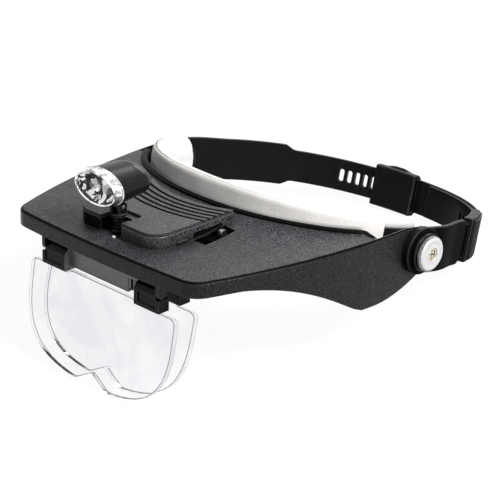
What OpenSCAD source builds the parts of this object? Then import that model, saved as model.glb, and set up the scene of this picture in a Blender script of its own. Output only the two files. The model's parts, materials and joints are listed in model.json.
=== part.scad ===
// Lighted headband magnifier: a visor that tilts on two thumb knobs, with a flip-up lens,
// a second fixed lens, a swivelling twin lamp, a battery box and an adjustable headband.
// The visor is drawn level with its top at z = 0 and the knob axis at y = 0, and the whole
// is then leaned back so that it stands on its rear lens and the back of its strap.

/* [Visor] */
// Width of the visor across its front corners
visor_front_w = 130; // [124:1:136]
// Width of the visor over the temple arms, at the knobs
visor_rear_w = 178; // [174:1:184]
// Flat top from the battery box forward to the front corners
front_margin = 12; // [9:0.5:16]
// Extra reach of the front edge at its middle
front_bow = 2.5; // [0.5:0.5:4]
// Radius of the front corners in plan
corner_r = 12; // [8:1:14]
// Height of the lip along the front
lip_h = 8.2; // [7.4:0.2:9]
// Thickness of the lip and side walls
visor_wall = 2.2; // [1.8:0.1:2.6]
// Thickness of the top
visor_top_t = 2; // [1.6:0.1:2.6]
// Rise of the top at the middle of its rear edge
brow_rise = 6; // [3:0.5:7]
// Depth of the temple arms below the top
arm_depth = 35.8; // [32:0.2:38]
// Height of the knob axis below the top
axis_drop = 13.7; // [13:0.1:14.5]

/* [Headband] */
// Lean of the headband, rear end down, from the visor
band_tilt = 12.6; // [10:0.2:15]
// Half length of the head ring from its widest line to the back
ring_rear = 89.4; // [84:0.2:94]
// Half length of the front band from the widest line to the forehead
ring_front = 76; // [74:0.5:78]
// Distance of the widest line behind the knob axis
ring_mid_y = 13.6; // [12:0.2:16]
// Squareness of the ring, 2 for an ellipse
ring_e = 2.3; // [2.1:0.05:2.5]
// Squareness of the ring behind its widest line
back_e = 2.2; // [2:0.05:2.5]
// Height of the front band
band_h = 20; // [17:0.5:21]
// Thickness of the front band
band_t = 2; // [1.6:0.1:2.4]
// Height of the sweatband
pad_h = 30.8; // [28:0.2:32]
// Thickness of the sweatband inside the front band
pad_in = 6; // [4:0.5:8]
// Thickness of the sweatband outside the front band
pad_out = 1.4; // [1:0.1:1.8]
// Height of the side straps where they are wide
strap_h = 24.2; // [22:0.2:25]
// Height of the side straps where they are narrow
strap_narrow_h = 18.6; // [16:0.2:19]
// Thickness of the side straps
strap_t = 2.2; // [1.8:0.1:2.4]
// Thickness of the round end of a side strap
disc_t = 3.2; // [2.8:0.1:3.8]
// Wide length of the right strap, let out for a larger head
right_wide_len = 74.5; // [65:0.5:85]
// Whole length of the right strap
right_len = 156; // [148:1:157]
// Wide length of the left strap, drawn in
left_wide_len = 42; // [36:0.5:44]
// Whole length of the left strap
left_len = 140; // [125:1:145]
// Distance between the slots of a strap
slot_pitch = 5; // [4.6:0.1:5.4]
// Width of a slot
slot_w = 2.8; // [2.4:0.1:3]
// Height of a slot
slot_h = 7.4; // [6:0.2:9]
// Length of each sleeve on the rear strap
sleeve_len = 28; // [24:0.5:30]
// Where the right sleeve starts, along the strap from the knob
right_sleeve_at = 130; // [126:0.5:132]
// Where the left sleeve starts, along the strap from the knob
left_sleeve_at = 50; // [48:0.5:54]
// Wall of the sleeve on its outer side
sleeve_out_t = 1.6; // [1.2:0.1:2]
// Wall of the sleeve on its inner side
sleeve_in_t = 1.2; // [1:0.1:1.6]
// Thickness of the latch plate on a sleeve
latch_t = 1; // [0.8:0.1:2]

/* [Knobs] */
// Diameter of a thumb knob
knob_d = 18.5; // [16:0.5:20]
// Thickness of a thumb knob
knob_t = 3.2; // [2.6:0.1:4]
// Diameter of the brass insert in a knob
insert_d = 7; // [6.6:0.1:8]
// Diameter of the pivot bolt
bolt_d = 5; // [4.6:0.1:5.4]
// Diameter of the head of the pivot bolt
bolt_head_d = 10; // [9:0.5:11]
// Height of the head of the pivot bolt
bolt_head_t = 1.6; // [1.2:0.1:2]
// Thickness of the washer under a knob
washer_t = 2.6; // [2:0.1:3]
// Diameter of the washer under a knob
washer_d = 20; // [18:0.5:22]

/* [Battery box] */
// Right side of the battery box, as worn
box_right = -32.5; // [-33.5:0.5:-31.5]
// Left side of the battery box, as worn
box_left = 26.4; // [25.8:0.2:26.6]
// From the front of the sweatband to the rear corners of the battery box
box_behind = 5.6; // [5:0.2:7]
// Room for the lamp post ahead of the batteries
post_room = 9.6; // [9:0.2:12]
// How far the rear edge is hollowed at its middle
box_rear_sag = 7.4; // [5:0.2:8]
// Height of the lid above the visor
box_h = 8.5; // [8:0.1:9.5]
// Thickness of the lid
lid_t = 1.5; // [1.2:0.1:1.6]
// Wall of the battery box
box_wall = 1.5; // [1.2:0.1:1.8]
// Radius of the front corners of the box
box_corner_r = 9.5; // [6:0.5:11]
// Number of grip grooves in the lid
groove_n = 5; // [3:1:6]
// Distance between the grooves
groove_pitch = 3.9; // [3.4:0.1:4.2]
// Width of a groove
groove_w = 1.7; // [1:0.1:2]
// Depth of a groove
groove_depth = 0.9; // [0.4:0.1:1]
// Diameter of a battery cell
cell_d = 10.5; // [10.1:0.1:10.6]
// Length of a battery cell with its nub
cell_len = 44.5; // [43.5:0.1:45]
// Travel of the lid to the rear
lid_travel = 5; // [3:0.5:5]

/* [Lamp] */
// Lamp sideways from the middle of the visor
lamp_x = -6; // [-7:0.5:-5]
// Lamp post ahead of the batteries
post_gap = 4.1; // [3.6:0.1:5]
// Diameter of the lamp post
post_d = 6; // [5.6:0.1:6.4]
// Height of the tilt pin above the visor
post_h = 14.3; // [13.5:0.1:16]
// Width of the lamp at its rim
lamp_w = 32.2; // [29:0.2:35]
// Height of the lamp at its rim
lamp_h = 18.9; // [17.5:0.1:20.4]
// Length of the lamp
lamp_len = 29; // [27:0.5:33]
// Depth of the chrome bezel
bezel_t = 5.4; // [4.6:0.2:6.4]
// Height of the lamp's centre line above its tilt pin
lamp_up = 12.5; // [12.2:0.1:14]
// Distance from the tilt pin forward to the lamp's face
lamp_fore = 15.4; // [14:0.2:17]
// Nose-down angle of the lamp
lamp_pitch = 0; // [-6:0.5:6]
// Sideways angle of the lamp
lamp_yaw = -1; // [-10:1:10]
// Distance between the two diodes
led_pitch = 9.6; // [8:0.2:11]
// Radius of each bowl of the reflector at its front
bowl_r = 6.7; // [5.5:0.1:7]
// Diameter of a diode
led_d = 5; // [4.6:0.1:5.2]

/* [Switch] */
// Width of the switch recess
recess_w = 8.2; // [7.6:0.1:9]
// Length of the switch recess
recess_len = 21.3; // [20:0.1:23]
// Depth of the switch recess
recess_depth = 6; // [5.6:0.1:7]
// From the rear corners of the box forward to the switch recess
recess_back = 6.9; // [6:0.1:8]
// Travel of the switch
switch_travel = 4; // [3:0.1:4.4]

/* [Lens holders] */
// Width of a lens clip
clip_w = 17.4; // [16.5:0.1:18.5]
// Outer side of the lens clips, from the middle
clip_out = 43; // [42:0.5:44]
// Depth of a clip, front to back
clip_depth = 7; // [6.8:0.1:7.6]
// Bottom of the clips below the visor's top
clip_bottom = 22.5; // [22:0.1:23.5]
// Front clips ahead of the visor's front corners
clip_lead = 1.2; // [0.8:0.1:1.6]
// From the front clips back to the rear clips
holder_pitch = 14; // [13.4:0.1:14.4]
// Diameter of the lens hinge pins
hinge_pin_d = 2; // [1.6:0.1:2.2]
// Thickness of the bar between the front clips
bar_t = 2; // [1.6:0.1:2.2]

/* [Lenses] */
// Width of a lens plate
lens_w = 106; // [100:1:110]
// Drop of a lens plate below its clips
lens_drop = 54; // [50:0.5:58]
// Thickness of a lens plate at its rim
lens_t = 3; // [2.6:0.1:3.2]
// Forward lean of the front lens
front_lens_tilt = 9; // [8:0.2:10]
// Forward lean of the rear lens
rear_lens_tilt = 12.7; // [12:0.1:13.5]
// Radius of each magnifying lobe
lobe_r = 26; // [22:0.5:26]
// Bulge of each magnifying lobe
lobe_sag = 1.4; // [0.8:0.1:1.8]
// Travel of a lens plate out of its clips
lens_travel = 7; // [4:0.5:7]

/* [Clearances] */
// Gap between layers that turn on one bolt
layer_gap = 0.3; // [0.2:0.05:0.4]
// Radial gap round a turning pin
pin_gap = 0.05; // [0.03:0.01:0.08]
// Radial gap round a fixed pin or screw
fixed_gap = 0.02; // [0.01:0.01:0.04]
// Gap between sliding plastic parts
slide_gap = 0.15; // [0.1:0.05:0.2]
// Gap between the rear edge of the visor and the turning sweatband
brow_gap = 1.2; // [0.8:0.1:2]

/* [Hidden] */
$fn = 48;

// Colours as they are seen
black = [0.09, 0.09, 0.10];
dark_grey = [0.20, 0.20, 0.22];
mid_grey = [0.36, 0.36, 0.38];
foam_grey = [0.72, 0.71, 0.68];
silver = [0.80, 0.80, 0.82];
brass = [0.78, 0.65, 0.35];
chrome = [0.90, 0.90, 0.92];
clear = [0.85, 0.90, 0.95, 0.35];
board_green = [0.10, 0.35, 0.20];
cell_colour = [0.75, 0.45, 0.20];

// Layers on the pivot bolt, from the head outwards
zk = -axis_drop;
arm_out = visor_rear_w / 2;
arm_in = arm_out - visor_wall;
band_out = arm_in - layer_gap;
band_in = band_out - band_t;
disc_in = arm_out + layer_gap;
disc_out = disc_in + disc_t;
washer_in = disc_out + layer_gap / 3;
washer_out = washer_in + washer_t;
knob_in = washer_out + layer_gap / 3;
knob_out = knob_in + knob_t;
bolt_end = knob_out - 0.8;
disc_r = strap_h / 2 + 0.4;
tab_r = band_h / 2;
arm_end_r = disc_r - 0.4;

// Small helpers for curves
function smooth(u) = let (c = min(1, max(0, u))) c * c * (3 - 2 * c);
function spow(v, p) = sign(v) * pow(abs(v), p);
function rev(P) = [for (i = [len(P) - 1:-1:0]) P[i]];
function flip_x(P) = [for (p = P) [-p[0], p[1]]];
function unit(v) = v / norm(v);
function bezier(a, b, c, d, n) = [for (i = [0:n]) let (t = i / n, u = 1 - t)
    u*u*u * a + 3*u*u*t * b + 3*u*t*t * c + t*t*t * d];
// Right-hand normals of an open path, and the path moved along them
function normal_at(P, i) = let (t = unit(P[min(len(P) - 1, i + 1)] - P[max(0, i - 1)]))
    [t[1], -t[0]];
function shift(P, d) = [for (i = [0:len(P) - 1]) P[i] + d * normal_at(P, i)];
function lengths(P) = [for (i = 0, c = 0; i < len(P);
    c = c + (i + 1 < len(P) ? norm(P[i + 1] - P[i]) : 0), i = i + 1) c];
function ring_pt(a, b, t, e = ring_e) = [a * spow(cos(t), 2 / e), ring_mid_y + b * spow(sin(t), 2 / e)];

// Strap line round the back of the head, from the left knob to the right one
strap_mid_x = disc_in + strap_t / 2;
strap_inset = 3.7;
ring_a = strap_mid_x - strap_inset;
ring_front_b = ring_front + 1.3;
function strap_x(y) = let (front = y < ring_mid_y, e = front ? ring_e : back_e)
    ring_a * pow(max(0, 1 - pow(abs(y - ring_mid_y) / (front ? ring_front_b : ring_rear), e)), 1 / e);
function strap_line_x(y) = let (k = smooth((y - 13) / 23)) k * strap_x(y) + (1 - k) * strap_mid_x;
strap_half = concat([for (y = [0:4:36]) [strap_line_x(y), y]],
    [for (t = [16:3:88]) ring_pt(ring_a, ring_rear, t, back_e)]);
strap_line = concat(strap_half, [[0, ring_mid_y + ring_rear]], rev(flip_x(strap_half)));
strap_s = lengths(strap_line);
strap_total = strap_s[len(strap_s) - 1];
strap_table_x = [for (i = [0:len(strap_line) - 1]) [strap_s[i], strap_line[i][0]]];
strap_table_y = [for (i = [0:len(strap_line) - 1]) [strap_s[i], strap_line[i][1]]];
function strap_at(s) = [lookup(s, strap_table_x), lookup(s, strap_table_y)];
function strap_dir(s) = unit(strap_at(min(strap_total, s + 2)) - strap_at(max(0, s - 2)));
function strap_off(s, d) = let (t = strap_dir(s)) strap_at(s) + d * [t[1], -t[0]];

// Front band line from the right knob round the forehead to the left one
band_mid_x = (band_in + band_out) / 2;
band_a = band_mid_x + 0.7;
band_half = concat([for (t = [-90:4:-14]) ring_pt(band_a, ring_front, t)], [[band_mid_x, 0]]);
band_line = concat(rev(flip_x([for (i = [1:len(band_half) - 1]) band_half[i]])), band_half);
pad_tail = 3;
pad_half = concat(band_half, [[band_mid_x, pad_tail]]);
pad_line = concat(rev(flip_x([for (i = [1:len(pad_half) - 1]) pad_half[i]])), pad_half);
pad_face = band_t / 2 + 0.2;
pad_wrap_end = -20;
pad_outer = pad_face + pad_out;
function pad_y(x) = ring_mid_y - (ring_front + pad_outer)
    * pow(max(0, 1 - pow(abs(x) / (band_a + pad_outer), ring_e)), 1 / ring_e);

// Places along the visor, each measured from the piece behind it
box_rear = pad_y(0) - box_behind;
tray_wall = 1.1;
tray_gap = 0.2;
cell_pitch = cell_d + 0.2;
bay_rear = box_rear - box_rear_sag - box_wall;
bay_front = bay_rear - 3 * cell_pitch - 2 * tray_wall - 2 * tray_gap - 0.2;
post_y = bay_front - post_gap;
box_front = bay_front - post_room;
visor_len = front_margin - box_front;
front_clip_y = -visor_len - clip_lead;
rear_clip_y = front_clip_y + holder_pitch;
recess_rear = box_rear - recess_back;

// Visor outline in plan, from the right arm round the front to the left arm
side_e = 2.15;
visor_fw = visor_front_w / 2;
function half_w(y) = let (t = min(1, max(0, (y + visor_len) / visor_len)))
    visor_fw + (arm_out - visor_fw) * (1 - pow(1 - t, side_e));
corner_y = -visor_len - 0.25 * front_bow + corner_r;
corner_a = 18.8;
side_start = corner_y - corner_r * sin(corner_a);
corner_x = half_w(side_start) - corner_r * cos(corner_a);
outline_half = concat(
    [for (i = [0:6]) let (x = corner_x * i / 6)
        [x, corner_y - corner_r - 0.75 * front_bow * (1 - pow(x / corner_x, 2))]],
    [for (k = [1:6]) let (a = -90 + (90 - corner_a) * k / 6)
        [corner_x + corner_r * cos(a), corner_y + corner_r * sin(a)]],
    [for (i = [1:20]) let (y = side_start * (1 - i / 20)) [half_w(y), y]],
    [[arm_out, arm_end_r]]);
outline = concat(rev(flip_x([for (i = [1:len(outline_half) - 1]) outline_half[i]])), outline_half);
outline_in = shift(outline, -visor_wall);

// Brow: the part of the top that rises to the rear and clears the sweatband as it turns
brow_start = box_rear - 29.4;
brow_stop = -30;
brow_nx = 24;
brow_ny = 9;
function brow_side(s) = half_w(brow_start + s * (brow_stop - brow_start)) - visor_wall / 2;
function brow_top(u) = -0.05 + (brow_rise + 0.05) * (1 - pow(abs(u), 4));
function brow_edge(u) = let (r = norm([pad_y(u * brow_side(1)), pad_h / 2 - 0.4]) + brow_gap, z = brow_top(u) - zk)
    min(brow_stop, -sqrt(max(0, r * r - z * z)));
function brow_pt(u, s) = [u * brow_side(s), brow_start + s * (brow_edge(u) - brow_start),
    -0.02 + (brow_top(u) + 0.02) * s * s];

// Battery box
box_mid = (box_left + box_right) / 2;
box_half = (box_left - box_right) / 2;
rear_r = (box_half * box_half + box_rear_sag * box_rear_sag) / (2 * box_rear_sag);
rear_c = box_rear - box_rear_sag + rear_r;
lid_z = box_h - lid_t;
bay_right = box_right + box_wall + 0.3;
bay_left = box_left - box_wall - 0.3;
cell_z = lid_z - 1.25 - cell_d / 2;
tray_floor = cell_z - cell_d / 2 - 0.2;
tray_bottom = tray_floor - tray_wall;
flange_t = 1.2;
flange_w = 4;
lid_notch_r = lamp_x - 7.2;
lid_notch_l = lamp_x + 7.9;
lid_notch_y = post_y + 8.3;
lid_bite = 3;
tray_screw_d = 2;

// Lamp
spigot_d = post_d - 1.5;
post_boss_r = 4.6;
post_boss_h = 6;
ear_t = 1.6;
lug_w = 4;
tilt_pin_d = 2;
lamp_a = lamp_w / 2;
lamp_b = lamp_h / 2;
shell_t = 1.2;
reflector_t = 5;

// Switch
recess_x = box_left + 0.5;
recess_front = recess_rear - recess_len;
switch_len = 12.5;
switch_w = 6.6;
switch_h = 4.2;
lever_w = 2.6;
lever_len = 4.6;
lever_top = 1.8;

// Lens holders
clip_in = clip_out - clip_w;
hinge_y = front_clip_y + 2.6;
hinge_z = -lip_h - 4.6;
lug_r = 2.6;
lug_t = 2.2;
lug_cut = lug_t + 0.3;
clip_top = -lip_h - 2.2;
bevel = 3.2;
lens_y_front = front_clip_y + 3.3;
lens_y_rear = rear_clip_y + 2.85;
lens_top = -clip_bottom + 1.5;
tab_in = clip_in + 2;
tab_out = clip_out - lug_cut - 0.3;
plate_low = -2.1;
tab_h = 5.6;
lobe_x = lens_w / 4 - 0.3;
lobe_z = -lens_drop / 2;
rear_extra = 0.7;

// Resting attitude: the rear lens and the back of the strap stand on one plane
sleeve_face = strap_t / 2 + layer_gap + sleeve_out_t;
function in_visor(y, z) = [y * cos(band_tilt) + z * sin(band_tilt),
    -y * sin(band_tilt) + z * cos(band_tilt) + zk];
function lens_corner(y0, tilt, drop, side) = [
    y0 - drop * sin(tilt) + side * lens_t / 2 * cos(tilt),
    lens_top - drop * cos(tilt) - side * lens_t / 2 * sin(tilt)];
strap_foot = in_visor(ring_mid_y + ring_rear + sleeve_face, -strap_h / 2);
lens_foot = lens_corner(lens_y_rear, rear_lens_tilt, lens_drop + rear_extra, 1);
rest_tilt = atan((strap_foot[1] - lens_foot[1]) / (strap_foot[0] - lens_foot[0]));
function seated(p) = [p[0] * cos(rest_tilt) + p[1] * sin(rest_tilt),
    -p[0] * sin(rest_tilt) + p[1] * cos(rest_tilt)];
front_end = seated(lens_corner(lens_y_front, front_lens_tilt, lens_drop, -1))[0];
rear_end = seated(in_visor(ring_mid_y + ring_rear + sleeve_face + latch_t, strap_h / 2 - 1.2))[0];
seat_y = -(front_end + rear_end) / 2;
seat_z = -seated(lens_foot)[1];

// Frames: everything in the visor's frame is seated, and band parts lean first
module seat() {
    translate([0, seat_y, seat_z]) rotate([-rest_tilt, 0, 0]) children();
}
module band_frame() {
    seat() translate([0, 0, zk]) rotate([-band_tilt, 0, 0]) children();
}
module lamp_frame() {
    seat() translate([lamp_x, post_y, post_h]) rotate([0, 0, lamp_yaw]) children();
}
module lamp_axis() {
    lamp_frame() rotate([lamp_pitch, 0, 0]) translate([0, -lamp_fore, lamp_up]) children();
}
module lens_frame(y0, tilt) {
    seat() translate([0, y0, lens_top]) rotate([-tilt, 0, 0]) children();
}

// Common shapes
module x_rod(x0, x1, r) {
    translate([x0, 0, 0]) rotate([0, 90, 0]) cylinder(h = x1 - x0, r = r);
}
module block(x0, x1, y0, y1, z0, z1) {
    translate([x0, y0, z0]) cube([x1 - x0, y1 - y0, z1 - z0]);
}
module ribbon(P, t, h) {
    linear_extrude(height = h, center = true) polygon(concat(shift(P, t / 2), rev(shift(P, -t / 2))));
}
// A stretch of strap between two distances along the strap line
module strap_strip(s0, s1, d, t, h) {
    S = concat([s0], [for (k = [ceil((s0 + 0.5) / 4):floor((s1 - 0.5) / 4)]) 4 * k], [s1]);
    linear_extrude(height = h, center = true)
        polygon(concat([for (s = S) strap_off(s, d + t / 2)], rev([for (s = S) strap_off(s, d - t / 2)])));
}
module on_strap(s, d) {
    t = strap_dir(s);
    translate(concat(strap_off(s, d), [0])) rotate([0, 0, atan2(t[1], t[0])]) children();
}
// Rounded slot or peg, its thickness across the strap
module slot_shape(w, h, t) {
    rotate([90, 0, 0]) {
        for (k = [-1, 1]) translate([0, k * (h - w) / 2, 0]) cylinder(h = t, r = w / 2, center = true);
        cube([w, h - w, t], center = true);
    }
}
// Closed solid through oval sections, each [distance along y, half width, half height]
module oval_loft(S, n = 28) {
    m = len(S);
    pts = [for (s = S) for (i = [0:n - 1]) [s[1] * cos(360 * i / n), s[0], s[2] * sin(360 * i / n)]];
    caps = [[for (i = [n - 1:-1:0]) i], [for (i = [0:n - 1]) (m - 1) * n + i]];
    sides = [for (j = [0:m - 2]) for (i = [0:n - 1]) let (k = (i + 1) % n)
        each [[j*n + i, j*n + k, (j + 1)*n + i], [j*n + k, (j + 1)*n + k, (j + 1)*n + i]]];
    polyhedron(points = pts, faces = concat(caps, sides));
}

module front_band() {
    color(black) band_frame() difference() {
        union() {
            ribbon(band_line, band_t, band_h);
            for (k = [-1, 1]) scale([k, 1, 1]) x_rod(band_in, band_out, tab_r);
        }
        for (k = [-1, 1]) scale([k, 1, 1]) {
            x_rod(band_in - 1, band_out + 1, bolt_d / 2 + fixed_gap);
            x_rod(band_in - 4, band_in, bolt_head_d / 2 + 0.4);
        }
    }
}

// Sweatband section: [distance out from the band line, height] for its upper half
pad_top = pad_h / 2;
pad_deep = pad_face + pad_in;
pad_upper = [[pad_outer, 0], [pad_outer, pad_top - 3], [pad_outer - 0.2, pad_top - 1.3],
    [pad_outer - 0.7, pad_top - 0.6], [pad_outer - 1.2, pad_top - 1.1], [pad_outer - 1.7, pad_top - 0.3],
    [-pad_deep / 2 + 1, pad_top - 0.6], [-pad_deep + 1.8, pad_top - 2.6], [-pad_deep - 0.3, pad_top - 6.2],
    [-pad_deep - 0.9, 0]];
pad_section = concat(pad_upper, [for (i = [len(pad_upper) - 2:-1:1]) [pad_upper[i][0], -pad_upper[i][1]]]);
pad_s = lengths(pad_line);
pad_total = pad_s[len(pad_s) - 1];
pad_x = [for (i = [0:len(pad_line) - 1]) [pad_s[i], pad_line[i][0]]];
pad_yt = [for (i = [0:len(pad_line) - 1]) [pad_s[i], pad_line[i][1]]];
function pad_at(s) = [lookup(s, pad_x), lookup(s, pad_yt)];
function pad_dir(s) = unit(pad_at(min(pad_total, s + 3)) - pad_at(max(0, s - 3)));
pad_round = 8;
function pad_taper(s) = let (u = min(1, min(s, pad_total - s) / pad_round)) sqrt(1 - pow(1 - u, 2));
pad_n = 44;
pad_stops = [for (i = [0:pad_n]) let (u = i / pad_n) pad_total * (0.5 - 0.5 * cos(180 * u))];
module pad_solid() {
    m = len(pad_section);
    pts = [for (s = pad_stops) let (c = max(0.2, pad_taper(s)), t = pad_dir(s), p = pad_at(s))
        for (q = pad_section) let (d = q[0] < 0 ? q[0] * (0.45 + 0.55 * c) : q[0])
            [p[0] + d * t[1], p[1] - d * t[0], q[1] * c]];
    caps = [[for (i = [m - 1:-1:0]) i], [for (i = [0:m - 1]) pad_n * m + i]];
    sides = [for (j = [0:pad_n - 1]) for (i = [0:m - 1]) let (k = (i + 1) % m)
        each [[j*m + i, j*m + k, (j + 1)*m + i], [j*m + k, (j + 1)*m + k, (j + 1)*m + i]]];
    polyhedron(points = pts, faces = concat(caps, sides));
}
module sweatband() {
    near_end = [for (p = pad_half) if (p[1] > pad_wrap_end) p];
    color(foam_grey) band_frame() difference() {
        pad_solid();
        ribbon(concat([[-band_mid_x, pad_tail + 9]], pad_line, [[band_mid_x, pad_tail + 9]]),
            band_t + 0.4, band_h + 0.6);
        for (k = [-1, 1]) scale([k, 1, 1]) {
            x_rod(band_in - bolt_head_t - 0.3, band_in + 0.1, bolt_head_d / 2 + 0.4);
            linear_extrude(height = 2 * pad_h, center = true) polygon(concat(
                shift(near_end, -band_t / 2 - 0.2), [[band_in - 0.2, pad_tail + 9], [arm_out + 4, pad_tail + 9],
                [arm_out + 4, pad_wrap_end - 3]]));
        }
    }
}

module pivot_bolts() {
    color(silver) band_frame() for (k = [-1, 1]) scale([k, 1, 1]) {
        x_rod(band_in - bolt_head_t, band_in, bolt_head_d / 2);
        x_rod(band_in - 0.2, bolt_end, bolt_d / 2);
    }
}

module side_strap(wide_len, whole_len, slot_from, slot_n) {
    taper = 5;
    difference() {
        union() {
            x_rod(disc_in, disc_out, disc_r);
            strap_strip(0, wide_len + taper, 0, strap_t, strap_h);
            strap_strip(wide_len, whole_len, 0, strap_t, strap_narrow_h);
        }
        on_strap(wide_len + taper / 2, 0) for (k = [-1, 1]) scale([1, 1, k])
            rotate([90, 0, 0]) linear_extrude(height = 12, center = true) polygon([
                [-taper / 2, strap_h / 2], [taper / 2, strap_narrow_h / 2], [taper / 2 + 3, strap_narrow_h / 2],
                [taper / 2 + 3, strap_h / 2 + 1], [-taper / 2, strap_h / 2 + 1]]);
        for (i = [0:slot_n - 1]) on_strap(slot_from + i * slot_pitch, 0)
            slot_shape(slot_w, slot_h, strap_t + 2);
        x_rod(disc_in - 1, disc_out + 1, bolt_d / 2 + pin_gap);
    }
}
right_slots_at = right_sleeve_at - 4 * slot_pitch;
right_slot_n = 9;
left_slots_at = left_sleeve_at + 2 * slot_pitch;
left_slot_n = 10;
module side_strap_left() {
    color(black) band_frame() side_strap(left_wide_len, left_len, left_slots_at, left_slot_n);
}
module side_strap_right() {
    color(black) band_frame() mirror([1, 0, 0])
        side_strap(right_wide_len, right_len, right_slots_at, right_slot_n);
}

sleeve_gap = strap_t + 2 * layer_gap;
module sleeve(s0, s1) {
    difference() {
        strap_strip(s0, s1, (sleeve_out_t - sleeve_in_t) / 2, sleeve_gap + sleeve_out_t + sleeve_in_t, strap_h);
        strap_strip(s0 - 1, s1 + 1, 0, sleeve_gap, strap_narrow_h + 2 * layer_gap);
    }
}
module peg(s) {
    on_strap(s, (sleeve_gap - strap_t) / 2 + 0.1)
        slot_shape(slot_w - 0.4, slot_h - 0.4, sleeve_gap + 0.2 - (sleeve_gap - strap_t) / 2);
}
right_sleeve_end = strap_total - right_sleeve_at;
right_sleeve_start = right_sleeve_end - sleeve_len;
left_sleeve_end = left_sleeve_at + sleeve_len;
module rear_strap() {
    outer = sleeve_gap / 2 + sleeve_out_t / 2;
    color(black) band_frame() {
        sleeve(left_sleeve_at, left_sleeve_end);
        sleeve(right_sleeve_start, right_sleeve_end);
        strap_strip(left_sleeve_end - 2, right_sleeve_start + 2, outer, sleeve_out_t, strap_narrow_h + 1);
        strap_strip(left_sleeve_at + 4, left_sleeve_end, outer + (sleeve_out_t + latch_t) / 2 - 0.2,
            latch_t + 0.4, strap_h - 2.4);
        strap_strip(right_sleeve_start, right_sleeve_end - 4, outer + (sleeve_out_t + latch_t) / 2 - 0.2,
            latch_t + 0.4, strap_h - 2.4);
        for (i = [1, 3]) peg(left_slots_at + i * slot_pitch);
        for (i = [5, 7]) peg(strap_total - right_slots_at - i * slot_pitch);
    }
}

module pivot_washers() {
    color(black) band_frame() for (k = [-1, 1]) scale([k, 1, 1]) difference() {
        x_rod(washer_in, washer_out, washer_d / 2);
        x_rod(washer_in - 1, washer_out + 1, bolt_d / 2 + pin_gap);
    }
}
knurl_n = 40;
module knob() {
    r = knob_d / 2;
    difference() {
        union() {
            translate([knob_in, 0, 0]) rotate([0, 90, 0]) linear_extrude(height = knob_t - 0.5)
                polygon([for (i = [0:2 * knurl_n - 1]) let (a = 180 * i / knurl_n, q = i % 2 == 0 ? r : r - 0.5)
                    [q * cos(a), q * sin(a)]]);
            x_rod(knob_in, knob_out, r - 0.7);
        }
        x_rod(knob_in - 1, knob_out + 1, insert_d / 2 + fixed_gap);
    }
}
module knob_left() { color(silver) band_frame() knob(); }
module knob_right() { color(silver) band_frame() mirror([1, 0, 0]) knob(); }
module insert() {
    difference() {
        x_rod(knob_in, knob_out - 0.3, insert_d / 2);
        x_rod(knob_in - 1, knob_out + 1, bolt_d / 2 + pin_gap);
    }
}
module insert_left() { color(brass) band_frame() insert(); }
module insert_right() { color(brass) band_frame() mirror([1, 0, 0]) insert(); }

// Side view of the visor's walls: [y, z] round the lip, the arm and its round end
arm_low = -arm_depth;
lip_end = -visor_len + 24;
belly_front = -40;
belly_rear = -34;
side_view = concat(
    [[-visor_len - 12, 0], [-visor_len - 12, -lip_h]],
    bezier([lip_end, -lip_h], [lip_end + 40, -lip_h - 3.8], [belly_front - 6, arm_low], [belly_front, arm_low], 14),
    bezier([belly_rear, arm_low], [belly_rear + 12, arm_low - 0.4], [-6, arm_low + 4.6],
        [arm_end_r * cos(60), zk - arm_end_r * sin(60)], 8),
    [for (a = [-45:15:75]) [arm_end_r * cos(a), zk + arm_end_r * sin(a)]],
    [[0, zk + arm_end_r], [-9, 0]]);
module visor_walls() {
    intersection() {
        translate([0, 0, -arm_depth - 5]) linear_extrude(height = arm_depth + 5)
            polygon(concat(outline, rev(outline_in)));
        translate([-visor_rear_w, 0, 0]) rotate([90, 0, 90])
            linear_extrude(height = 2 * visor_rear_w) polygon(side_view);
    }
}
module visor_flat() {
    keep = [for (p = outline) if (p[1] < brow_start) p];
    translate([0, 0, -visor_top_t]) linear_extrude(height = visor_top_t)
        polygon(concat([[-half_w(brow_start), brow_start]], keep, [[half_w(brow_start), brow_start]]));
}
module visor_brow() {
    w = brow_nx + 1;
    top = concat([for (i = [0:brow_nx]) brow_pt(2 * i / brow_nx - 1, 0) + [0, -1, -0.3]],
        [for (j = [0:brow_ny]) for (i = [0:brow_nx]) brow_pt(2 * i / brow_nx - 1, j / brow_ny)]);
    low = [for (p = top) [p[0], p[1], p[2] - visor_top_t + (p[1] < brow_start ? 0.6 : 0.03)]];
    m = len(top);
    n = brow_ny + 1;
    up = [for (j = [0:n - 1]) for (i = [0:brow_nx - 1]) let (a = j*w + i)
        each [[a, a + w, a + 1], [a + 1, a + w, a + w + 1]]];
    down = [for (f = up) [f[2] + m, f[1] + m, f[0] + m]];
    edge = concat([for (i = [0:brow_nx]) i], [for (j = [1:n]) j*w + brow_nx],
        [for (i = [brow_nx - 1:-1:0]) n*w + i], [for (j = [n - 1:-1:1]) j*w]);
    rim = [for (i = [0:len(edge) - 1]) let (a = edge[i], b = edge[(i + 1) % len(edge)])
        each [[a, b, a + m], [b, b + m, a + m]]];
    polyhedron(points = concat(top, low), faces = concat(up, down, rim));
}
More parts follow.
